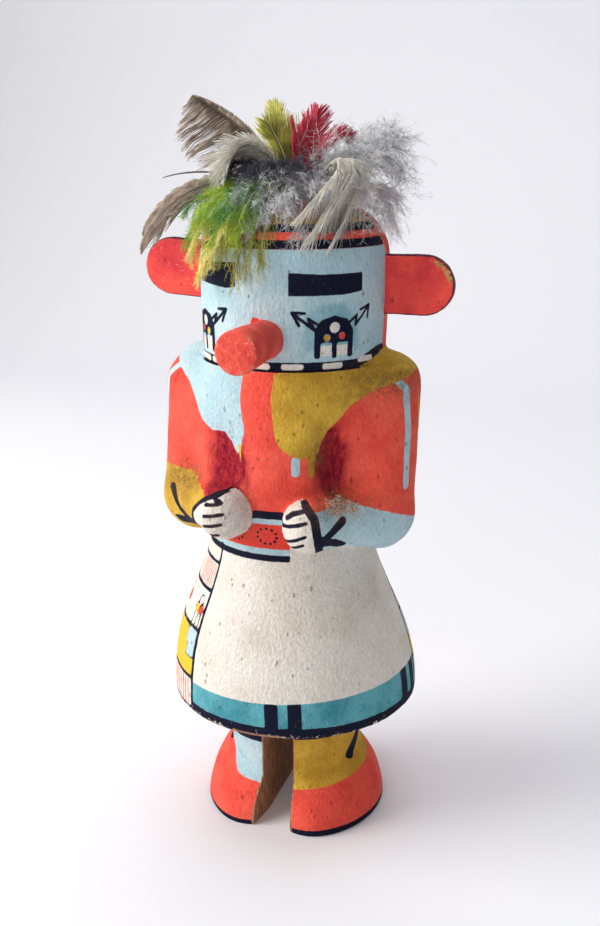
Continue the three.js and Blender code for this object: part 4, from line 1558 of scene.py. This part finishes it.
def feather_line(place, bearing, reach, arch, tip, roll=0.0, sway=0.0, outward=OUTWARD_SHARE):
    """Points along a feather from its seat in the crown to its tip, with a vector across its blade."""
    seat = 360 * ((place + 0.5) / len(FEATHERS)) - 180
    corners = [
        at_bearing(seat, QUILL_RING, CROWN_TOP - CROWN_HOLE["depth"] + QUILL_SEAT),
        at_bearing(seat, QUILL_RING, CROWN_TOP + QUILL_RISE + ARCH_SHARE * arch),
        at_bearing(bearing, QUILL_RING + outward * reach, CROWN_TOP + ARCH_LIFT + arch),
        at_bearing(bearing + sway, reach, CROWN_TOP + tip),
    ]
    fine_steps = 200
    t = np.linspace(0, 1, fine_steps)[:, None]
    weights = [(1 - t) ** 3, 3 * t * (1 - t) ** 2, 3 * t * t * (1 - t), t**3]
    curve = sum(weight * corner for weight, corner in zip(weights, corners))
    run = np.append(0, np.cumsum(np.linalg.norm(np.diff(curve, axis=0), axis=1)))
    even = np.linspace(0, run[-1], LINE_POINTS)
    points = np.stack([np.interp(even, run, curve[:, axis]) for axis in range(3)], axis=-1)
    tangent = np.gradient(points, axis=0)
    tangent /= np.linalg.norm(tangent, axis=1)[:, None]
    share = np.linspace(0, 1, LINE_POINTS)
    turn = np.radians(roll) * clamp01((share - ROLL_START) / (ROLL_END - ROLL_START))[:, None]
    sideways = at_bearing(bearing + 90, 1.0, 0.0)[None, :]
    along = np.sum(sideways * tangent, axis=1)[:, None]
    across = sideways * np.cos(turn) + np.cross(tangent, sideways) * np.sin(turn)
    across += tangent * along * (1 - np.cos(turn))
    return points, across


def keep(tree, geometry, name, value, kind="FLOAT"):
    """Stores a value on the points under a name."""
    inputs = {"Geometry": geometry, "Name": name, "Value": value}
    store_node = add(tree, "GeometryNodeStoreNamedAttribute", inputs, data_type=kind, domain="POINT")
    return store_node.outputs["Geometry"]


def kept(tree, name, kind="FLOAT"):
    node = add(tree, "GeometryNodeInputNamedAttribute", {"Name": name}, data_type=kind)
    return node.outputs["Attribute"]


def random(tree, seed, low=0.0, high=1.0, kind="FLOAT"):
    node = add(tree, "FunctionNodeRandomValue", data_type=kind)
    live = {socket.name: socket for socket in node.inputs if socket.enabled}
    live["Min"].default_value = low
    live["Max"].default_value = high
    tree.links.new(seed, live["Seed"])
    return next(socket for socket in node.outputs if socket.enabled)


def drift(tree, where, size, seed):
    """A smooth random vector that changes over about the given size."""
    scale = calc(tree, "DIVIDE", 1.0, size)
    inputs = {"Vector": where, "W": seed, "Scale": scale, "Detail": 2.0}
    colour = add(tree, "ShaderNodeTexNoise", inputs, noise_dimensions="4D").outputs["Color"]
    return vector(tree, "SUBTRACT", colour, (0.5, 0.5, 0.5))


def tubes(tree, curves, sides, radius):
    """Closed tubes round curves."""
    ring = add(tree, "GeometryNodeCurvePrimitiveCircle", {"Resolution": sides, "Radius": 1.0})
    inputs = {"Curve": curves, "Profile Curve": ring.outputs["Curve"], "Scale": radius, "Fill Caps": True}
    return add(tree, "GeometryNodeCurveToMesh", inputs).outputs["Mesh"]


def spaced_points(tree, curves, count):
    inputs = {"Curve": curves, "Count": count}
    return add(tree, "GeometryNodeCurveToPoints", inputs, mode="COUNT").outputs


def made_real(tree, geometry):
    return add(tree, "GeometryNodeRealizeInstances", {"Geometry": geometry}).outputs[0]


def copies(tree, points, wanted, instance, rotation, scale):
    """A copy of one thing on each wanted point."""
    inputs = {"Points": points, "Selection": wanted, "Instance": instance}
    inputs |= {"Rotation": rotation, "Scale": scale}
    return made_real(tree, add(tree, "GeometryNodeInstanceOnPoints", inputs).outputs["Instances"])


def moved(tree, geometry, offset):
    inputs = {"Geometry": geometry, "Offset": offset}
    return add(tree, "GeometryNodeSetPosition", inputs).outputs[0]


def position(tree):
    return add(tree, "GeometryNodeInputPosition").outputs[0]


def swung(tree, first, second, angle):
    """A direction turned by an angle from the first one towards the second."""
    start = scaled(tree, first, calc(tree, "COSINE", angle))
    return vector(tree, "ADD", start, scaled(tree, second, calc(tree, "SINE", angle)))


def feather_tree():
    """Grows barbs on both sides of a quill and fine hairs on the barbs, from a line with a side vector."""
    tree = bpy.data.node_groups.new("Feather", "GeometryNodeTree")
    tree.interface.new_socket("Line", in_out="INPUT", socket_type="NodeSocketGeometry")
    for name, (kind, default, in_mm) in FEATHER_INPUTS.items():
        socket = tree.interface.new_socket(name, in_out="INPUT", socket_type=kind)
        socket.default_value = default * MM if in_mm else default
    tree.interface.new_socket("Finish", in_out="INPUT", socket_type="NodeSocketMaterial")
    tree.interface.new_socket("Feather", in_out="OUTPUT", socket_type="NodeSocketGeometry")
    given = tree.nodes.new("NodeGroupInput").outputs

    def seeded(offset):
        return plus(tree, given["Seed"], offset)

    quill_sides, barb_sides = 7, 3
    factor = add(tree, "GeometryNodeSplineParameter").outputs["Factor"]
    line = add(tree, "GeometryNodeMeshToCurve", {"Mesh": given["Line"]}).outputs["Curve"]
    line = keep(tree, line, "along", factor)
    tangent = add(tree, "GeometryNodeInputTangent").outputs["Tangent"]
    line = keep(tree, line, "forward", tangent, "FLOAT_VECTOR")
    quill_radius = times(tree, given["Quill radius"], remap(tree, factor, 0.2, 1.0, 1.0, 0.25))
    quill = tubes(tree, line, quill_sides, quill_radius)
    quill = keep(tree, quill, "quill", 1.0)

    barbs = grow_barbs(tree, given, seeded, line)
    barb_radius = times(tree, given["Barb radius"], remap(tree, kept(tree, "out"), 0.0, 1.0, 1.0, 0.45))
    barb_mesh = tubes(tree, barbs, barb_sides, barb_radius)
    hairs = grow_hairs(tree, given, seeded, barbs)

    joined = add(tree, "GeometryNodeJoinGeometry")
    for piece in (hairs, barb_mesh, quill):
        tree.links.new(piece, joined.inputs[0])
    whole = {"Geometry": made_real(tree, joined.outputs[0]), "Material": given["Finish"]}
    finished = add(tree, "GeometryNodeSetMaterial", whole).outputs[0]
    tree.links.new(finished, tree.nodes.new("NodeGroupOutput").inputs[0])
    return tree


def grow_barbs(tree, given, seeded, line):
    """Barbs as curves, leaning towards the tip, split into clumps and drooping at their ends."""
    shortest = 0.4 * MM
    doubled = {"Geometry": spaced_points(tree, line, given["Barbs"])["Points"], "Amount": 2}
    two = add(tree, "GeometryNodeDuplicateElements", doubled, domain="POINT")
    hand = minus(tree, 1.0, times(tree, two.outputs["Duplicate Index"], 2.0))
    points = keep(tree, two.outputs["Geometry"], "hand", hand)
    points = keep(tree, points, "tint", random(tree, seeded(1)))
    along = kept(tree, "along")
    forward, side = kept(tree, "forward", "FLOAT_VECTOR"), kept(tree, "side", "FLOAT_VECTOR")
    blade = remap(tree, along, given["Blade start"], 1.0)
    wave = calc(tree, "SINE", times(tree, calc(tree, "POWER", blade, given["Blade lead"]), math.pi))
    profile = calc(tree, "POWER", calc(tree, "MAXIMUM", wave, 0.0), given["Fullness"])
    ragged = minus(tree, 1.0, times(tree, random(tree, seeded(2)), given["Raggedness"]))
    second = remap(tree, kept(tree, "hand"), -1.0, 1.0, 0.0, 1.0)
    second = plus(tree, second, times(tree, minus(tree, 1.0, second), given["Second side"]))
    length = times(tree, times(tree, profile, ragged), times(tree, second, given["Barb length"]))
    points = keep(tree, points, "length", length)
    place = plus(tree, times(tree, along, 22.0), times(tree, kept(tree, "hand"), 40.0))
    clumping = {"W": place, "Scale": 1.0, "Detail": 2.0}
    clump = add(tree, "ShaderNodeTexNoise", clumping, noise_dimensions="1D")
    split = times(tree, minus(tree, clump.outputs["Fac"], 0.5), times(tree, given["Splits"], 2.0))
    lean = plus(tree, given["Lean"], times(tree, along, given["Tip lean"]))
    lean = plus(tree, lean, split)
    spin = times(tree, random(tree, seeded(3), -1.0, 1.0), given["Scatter"])
    through = vector(tree, "CROSS_PRODUCT", side, forward)
    outward = swung(tree, scaled(tree, side, kept(tree, "hand")), through, spin)
    axes = {"Primary Axis": swung(tree, outward, forward, lean), "Secondary Axis": through}
    rotation = add(tree, "FunctionNodeAxesToRotation", axes, primary_axis="Z", secondary_axis="X")
    straight = add(tree, "GeometryNodeCurvePrimitiveLine", {"Start": (0, 0, 0), "End": (0, 0, 1)})
    straight = add(tree, "GeometryNodeResampleCurve", {"Curve": straight.outputs["Curve"], "Count": 5})
    factor = add(tree, "GeometryNodeSplineParameter").outputs["Factor"]
    barb = keep(tree, straight.outputs["Curve"], "out", factor)
    wanted = calc(tree, "GREATER_THAN", kept(tree, "length"), shortest)
    barbs = copies(tree, points, wanted, barb, rotation.outputs["Rotation"], kept(tree, "length"))
    out, reach = kept(tree, "out"), kept(tree, "length")
    bend = vector(tree, "ADD", scaled(tree, forward, given["Bend"]), scaled(tree, through, given["Cup"]))
    fall = add(tree, "ShaderNodeCombineXYZ", {"Z": times(tree, given["Droop"], -1.0)}).outputs[0]
    pull = scaled(tree, vector(tree, "ADD", bend, fall), times(tree, reach, calc(tree, "POWER", out, 2.0)))
    waft = drift(tree, position(tree), given["Curl size"], seeded(4))
    waft = scaled(tree, waft, times(tree, times(tree, out, reach), times(tree, given["Curl"], 4.0)))
    return moved(tree, barbs, vector(tree, "ADD", pull, waft))


def grow_hairs(tree, given, seeded, barbs):
    """Short soft hairs all along the barbs, slightly curled."""
    curl_size = 2.2 * MM
    spaced = spaced_points(tree, barbs, given["Hairs"])
    points = keep(tree, spaced["Points"], "barb", spaced["Tangent"], "FLOAT_VECTOR")
    aside = random(tree, seeded(5), (-1.0, -1.0, -1.0), (1.0, 1.0, 1.0), "FLOAT_VECTOR")
    direction = vector(tree, "ADD", aside, scaled(tree, kept(tree, "barb", "FLOAT_VECTOR"), 0.75))
    upright = add(tree, "FunctionNodeAlignRotationToVector", {"Vector": direction}, axis="Z")
    cone = {"Vertices": 3, "Side Segments": 1, "Radius Top": 0.25, "Radius Bottom": 1.0, "Depth": 1.0}
    hair = add(tree, "GeometryNodeMeshCone", cone).outputs["Mesh"]
    height = add(tree, "ShaderNodeSeparateXYZ", {0: position(tree)}).outputs["Z"]
    hair = keep(tree, hair, "hair", height)
    length = times(tree, given["Hair length"], random(tree, seeded(6), 0.45, 1.0))
    radius = given["Hair radius"]
    size = add(tree, "ShaderNodeCombineXYZ", {"X": radius, "Y": radius, "Z": length}).outputs[0]
    wanted = calc(tree, "GREATER_THAN", given["Hair length"], 0.0)
    hairs = copies(tree, points, wanted, hair, upright.outputs["Rotation"], size)
    waft = drift(tree, position(tree), curl_size, seeded(7))
    waft = scaled(tree, waft, times(tree, kept(tree, "hair"), times(tree, given["Hair length"], 1.1)))
    return moved(tree, hairs, waft)


def tuft_lines(place, line, tufts, fan, fall):
    """A feather's own line, or several that fan out round it on a loose tuft."""
    lines = []
    for number, turn in enumerate(np.linspace(-1, 1, tufts) if tufts > 1 else [0.0]):
        tip = line["tip"] + fall * math.cos(2.4 * number) * (tufts > 1)
        lines.append(feather_line(place, **{**line, "bearing": line["bearing"] + fan * turn, "tip": tip}))
    points, across = (np.concatenate(parts) for parts in zip(*lines))
    starts = np.arange(len(points)).reshape(len(lines), -1)[:, :-1].ravel()
    return points, across, [(int(i), int(i) + 1) for i in starts]


def grow_feather(tree, name, place, spec, finish):
    """Runs the feather tree on one feather's lines and turns the result into a plain mesh."""
    points, across, edges = tuft_lines(place, spec["line"], *spec.get("tufts", (1, 0.0, 0.0)))
    feather = new_object(f"{name}_feather", points, [], edges)
    side = feather.data.attributes.new("side", "FLOAT_VECTOR", "POINT")
    side.data.foreach_set("vector", across.astype(np.float32).ravel())
    growth = feather.modifiers.new("growth", "NODES")
    growth.node_group = tree
    sockets = {item.name: item.identifier for item in tree.interface.items_tree if item.in_out == "INPUT"}
    looks = {**spec["kind"], **spec["looks"], "Seed": 100 * (place + 1)}
    for key, value in looks.items():
        in_mm = FEATHER_INPUTS[key][2]
        growth[sockets[key]] = value * MM if in_mm else value
    growth[sockets["Finish"]] = finish
    mesh = evaluated_mesh(feather)
    feather.modifiers.clear()
    feather.data = mesh
    rest_on_head(feather)
    smooth(feather, 180)
    return feather


def rest_on_head(feather):
    """Lifts whatever would reach into the head out to its surface."""
    points = points_of(feather)
    x, y, z = points.T
    clear = 0.3
    radius = np.hypot(x, y)
    skin = head_form(np.minimum(z, CROWN_TOP)) + clear
    in_hole = (radius < CROWN_HOLE["top"] + 1) & (z > CROWN_TOP - CROWN_HOLE["depth"])
    inside = (radius < skin) & (z < CROWN_TOP + clear) & ~in_hole
    outwards, upwards = skin - radius, CROWN_TOP + clear - z
    lift = inside & (upwards < outwards)
    push = inside & ~lift
    grow = np.where(push, skin / np.maximum(radius, 0.1), 1.0)
    z = np.where(lift, CROWN_TOP + clear, z)
    move_points(feather, np.stack([x * grow, y * grow, z], axis=-1))


def feather_finish(name, looks):
    """Soft dyed or natural barbs: paler or darker towards the tip, with faint streaks and bars."""
    material, tree, shader, where = new_material(name)
    along, out, tint = attribute(tree, "along"), attribute(tree, "out"), attribute(tree, "tint")
    streaks = remap(tree, texture_noise(tree, where, looks["patches"], 3.0), 0.3, 0.7)
    turn = plus(tree, times(tree, streaks, 0.8), times(tree, tint, 0.3))
    turn = plus(tree, turn, times(tree, out, looks["tips"]))
    start = 0.35 + 0.3 * looks["tips"]
    colour = two_tone(tree, turn, start, start + 0.5, looks["main"], looks["second"])
    if looks["bars"]:
        swing = plus(tree, times(tree, along, 2 * math.pi * looks["bars"]), times(tree, out, 3.0))
        bar = remap(tree, calc(tree, "SINE", plus(tree, swing, times(tree, streaks, 4.0))), 0.3, 0.7)
        colour = mix(tree, times(tree, bar, 0.4), colour, opaque(looks["bar"]))
    colour = mix(tree, attribute(tree, "quill"), colour, opaque(looks["quill"]))
    shade = remap(tree, tint, 0.0, 1.0, 0.86, 1.1)
    tree.links.new(mix(tree, 1.0, colour, shade, "MULTIPLY"), shader.inputs["Base Color"])
    tree.links.new(remap(tree, streaks, 0.3, 0.7, 0.55, 0.8), shader.inputs["Roughness"])
    shader.inputs["Sheen Weight"].default_value = 0.12
    shader.inputs["Sheen Roughness"].default_value = 0.5
    return material


class DOLL_plumage(bpy.types.PropertyGroup):
    brown: colour_property("Brown", "Brown vanes", (0.12, 0.08, 0.055))
    brown_pale: colour_property("Pale brown", "Paler streaks in the brown vanes", (0.33, 0.245, 0.175))
    brown_bar: colour_property("Brown bars", "Dark bars across the brown vanes", (0.06, 0.04, 0.03))
    dark: colour_property("Dark", "Navy-black feathers", (0.018, 0.019, 0.03))
    dark_second: colour_property("Dark sheen", "Bluer parts of the dark feathers", (0.05, 0.05, 0.075))
    cream: colour_property("Cream", "Cream body feathers", (0.8, 0.74, 0.63))
    cream_second: colour_property("Cream grey", "Greyer parts of the cream feathers", (0.66, 0.65, 0.58))
    grey: colour_property("Grey", "Grey down", (0.33, 0.325, 0.34))
    grey_second: colour_property("Pale grey", "Paler tips of the grey down", (0.8, 0.8, 0.82))
    pale: colour_property("Pale down", "Pinkish pale down", (0.62, 0.56, 0.57))
    pale_second: colour_property("Pale down tips", "Whiter tips of the pale down", (0.94, 0.91, 0.92))
    olive: colour_property("Olive", "Olive feathers", (0.2, 0.21, 0.02))
    olive_second: colour_property("Olive tips", "Yellower tips of the olive feathers", (0.55, 0.52, 0.08))
    green: colour_property("Green", "Bright green down", (0.02, 0.3, 0.003))
    green_second: colour_property("Yellow-green", "Yellower tips of the green down", (0.5, 0.66, 0.01))
    yellow: colour_property("Yellow", "Yellow down", (0.95, 0.8, 0.08))
    yellow_second: colour_property("Pale yellow", "Paler tips of the yellow down", (0.98, 0.92, 0.4))
    red: colour_property("Red", "Red vanes", (0.56, 0.008, 0.045))
    red_second: colour_property("Deep red", "Darker parts of the red vanes", (0.5, 0.01, 0.04))
    pale_quill: colour_property("Pale quill", "Quills of the pale and bright feathers", (0.62, 0.55, 0.4))
    dark_quill: colour_property("Dark quill", "Quills of the brown and dark feathers", (0.07, 0.045, 0.03))


BROAD, PATCHY, EVEN = 75.0, 180.0, 90.0  # how many patches a metre of feather has

# Each slot's main, second and quill colour, its patches, how much its tips turn and its number of bars
FEATHER_FINISHES = {
    "brown_feather": ("brown", "brown_pale", "dark_quill", PATCHY, 0.7, 3.5),
    "dark_feather": ("dark", "dark_second", "dark_quill", PATCHY, 0.2, 0),
    "cream_feather": ("cream", "cream_second", "pale_quill", PATCHY, 0.2, 0),
    "grey_feather": ("grey", "grey_second", "pale_quill", EVEN, 0.5, 0),
    "pale_down_feather": ("pale", "pale_second", "pale_quill", EVEN, 0.4, 0),
    "olive_feather": ("olive", "olive_second", "pale_quill", PATCHY, 0.4, 0),
    "green_feather": ("green", "green_second", "pale_quill", BROAD, 0.2, 0),
    "yellow_feather": ("yellow", "yellow_second", "pale_quill", PATCHY, 0.4, 0),
    "red_feather": ("red", "red_second", "dark_quill", PATCHY, 0.0, 0),
}


def grow_feathers(context, kinds):
    plumage = context.scene.doll_plumage
    tree = bpy.data.node_groups.get("Feather") or feather_tree()
    for place, (name, spec) in enumerate(FEATHERS.items()):
        if spec["kind"] not in kinds:
            continue
        slot = spec["slot"]
        main, second, quill, patches, tips, bars = FEATHER_FINISHES[slot]
        chosen = {"main": main, "second": second, "quill": quill, "bar": "brown_bar"}
        looks = {part: getattr(plumage, colour) for part, colour in chosen.items()}
        looks |= {"patches": patches, "tips": tips, "bars": bars}
        barbs_name = f"{slot}_barbs"  # the frame has a plain finish under the slot's own name
        finish = bpy.data.materials.get(barbs_name) or feather_finish(barbs_name, looks)
        feather = grow_feather(tree, name, place, spec, finish)
        finish_piece(feather, slot, f"feather_{name}")


class DOLL_OT_vanes(bpy.types.Operator):
    """Grow the vane feathers and the two comb-like ones, barb by barb"""

    bl_idname = "doll.vanes"
    bl_label = "Vane feathers"

    def execute(self, context):
        grow_feathers(context, (VANE, COMB))
        return {"FINISHED"}


class DOLL_OT_down(bpy.types.Operator):
    """Grow the soft down feathers, with hairs along every barb"""

    bl_idname = "doll.down"
    bl_label = "Down feathers"

    def execute(self, context):
        grow_feathers(context, (DOWN,))
        return {"FINISHED"}


# Floor, lights and camera

CAMERA_TARGET = (1.6, 6.4, 132.0)
CAMERA_ROLL = -0.1  # degrees


class DOLL_stage(bpy.types.PropertyGroup):
    backdrop: colour_property("Backdrop", "Paper under and behind the doll", (0.8, 0.8, 0.83))
    key_power: number_property("Key light", "Power of the side light", 13.5, unit="POWER")
    front_power: number_property("Front light", "Power of the front light", 2.5, unit="POWER")
    top_power: number_property("Top light", "Power of the overhead light", 15.0, unit="POWER")
    daylight: number_property("Daylight", "Strength of the light from all round", 0.16)
    azimuth: number_property("Camera azimuth", "From the doll's front", math.radians(18.6), unit="ROTATION")
    elevation: number_property("Camera elevation", "Above level", math.radians(16.2), unit="ROTATION")
    distance: number_property("Camera distance", "From its target", 0.378, unit="LENGTH")
    lens: number_property("Lens", "Focal length", 41.21, unit="CAMERA")


class DOLL_OT_stage(bpy.types.Operator):
    """Lay the paper sweep and set the lights and the camera"""

    bl_idname = "doll.stage"
    bl_label = "Stage"

    def execute(self, context):
        stage = context.scene.doll_stage
        sweep = lay_sweep(stage)
        middle = (0.0, 0.0, 0.12)
        add_light("key", (-0.82, -0.42, 0.62), middle, 0.75, stage.key_power, (1.0, 0.98, 0.95))
        add_light("front", (0.1, -0.95, 0.5), middle, 0.7, stage.front_power, (0.95, 0.97, 1.0))
        add_light("overhead", (0.0, 0.5, 1.5), (0.0, 0.7, 0.0), 1.6, stage.top_power, (0.97, 0.98, 1.0))
        world = bpy.data.worlds.new("studio")
        world.use_nodes = True
        background = world.node_tree.nodes["Background"].inputs
        background["Color"].default_value = (0.95, 0.96, 1.0, 1.0)
        background["Strength"].default_value = stage.daylight
        context.scene.world = world
        context.scene.view_settings.view_transform = "Standard"
        set_camera(context.scene, stage)
        return {"FINISHED"}


def lay_sweep(stage):
    """A sheet of paper that runs flat under the doll and curves up behind it."""
    half_width, front, back, bend, top = 1500.0, -1300.0, 700.0, 400.0, 1500.0
    turns = np.radians(np.linspace(0, 90, 24))
    profile = [(front, 0.0)] + [(back + bend * math.sin(a), bend * (1 - math.cos(a))) for a in turns]
    profile.append((back + bend, top))
    vertices = [(x, y, z) for y, z in profile for x in (-half_width, half_width)]
    faces = [(2 * i, 2 * i + 1, 2 * i + 3, 2 * i + 2) for i in range(len(profile) - 1)]
    sweep = new_object("paper_sweep", vertices, faces)
    sweep.data.shade_smooth()
    material, tree, shader, where = new_material("paper")
    fibres = texture_noise(tree, where, 900.0, 3.0)
    paper = mix(tree, remap(tree, fibres, 0.3, 0.7, 0.0, 0.04), opaque(stage.backdrop), (0.7, 0.7, 0.72, 1.0))
    tree.links.new(paper, shader.inputs["Base Color"])
    shader.inputs["Roughness"].default_value = 0.9
    shader.inputs["Specular IOR Level"].default_value = 0.2
    sweep.data.materials.append(material)
    return sweep


def look_at(thing, place, target, roll=0.0):
    """Puts a light or camera at a place and turns it to its target."""
    aim = (Vector(target) - Vector(place)).to_track_quat("-Z", "Y").to_matrix().to_4x4()
    thing.matrix_world = Matrix.Translation(place) @ aim @ Matrix.Rotation(roll, 4, "Z")


def add_light(name, place, target, size, power, colour):
    light = bpy.data.lights.new(name, "AREA")
    light.size = size
    light.energy = power
    light.color = colour
    lamp = bpy.data.objects.new(name, light)
    bpy.context.scene.collection.objects.link(lamp)
    look_at(lamp, place, target)


def set_camera(scene, stage):
    camera = bpy.data.cameras.new("camera")
    camera.sensor_fit = "AUTO"
    camera.sensor_width = 36.0
    camera.lens = stage.lens
    camera.clip_start = 0.01
    eye = bpy.data.objects.new("camera", camera)
    scene.collection.objects.link(eye)
    target = np.array(CAMERA_TARGET) * MM
    aside, up = stage.azimuth, stage.elevation
    back = np.array([math.sin(aside) * math.cos(up), -math.cos(aside) * math.cos(up), math.sin(up)])
    look_at(eye, target + stage.distance * back, target, math.radians(CAMERA_ROLL))
    scene.camera = eye


class DOLL_PT_panel(bpy.types.Panel):
    """The doll's pieces, sizes and colours"""

    bl_idname = "DOLL_PT_panel"
    bl_label = "Carved Doll"
    bl_space_type = "VIEW_3D"
    bl_region_type = "UI"
    bl_category = "Doll"

    def draw(self, context):
        for operator in PIECES:
            self.layout.operator(operator.bl_idname)
        for name, group_kind in SETTINGS.items():
            box = self.layout.box()
            for setting in group_kind.__annotations__:
                box.prop(getattr(context.scene, name), setting)


PIECES = (DOLL_OT_carving, DOLL_OT_snout, DOLL_OT_ears, DOLL_OT_vanes, DOLL_OT_down, DOLL_OT_stage)
SETTINGS = {
    "doll_carving": DOLL_carving,
    "doll_colours": DOLL_colours,
    "doll_plumage": DOLL_plumage,
    "doll_stage": DOLL_stage,
}


def register():
    for kind in (*SETTINGS.values(), *PIECES, DOLL_PT_panel):
        bpy.utils.register_class(kind)
    for name, kind in SETTINGS.items():
        setattr(bpy.types.Scene, name, PointerProperty(type=kind))


def unregister():
    for name in SETTINGS:
        delattr(bpy.types.Scene, name)
    for kind in (DOLL_PT_panel, *reversed(PIECES), *reversed(SETTINGS.values())):
        bpy.utils.unregister_class(kind)


def main():
    register()
    bpy.ops.doll.carving()
    bpy.ops.doll.snout()
    bpy.ops.doll.ears()
    bpy.ops.doll.vanes()
    bpy.ops.doll.down()
    bpy.ops.doll.stage()
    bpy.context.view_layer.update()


if __name__ == "__main__":
    main()
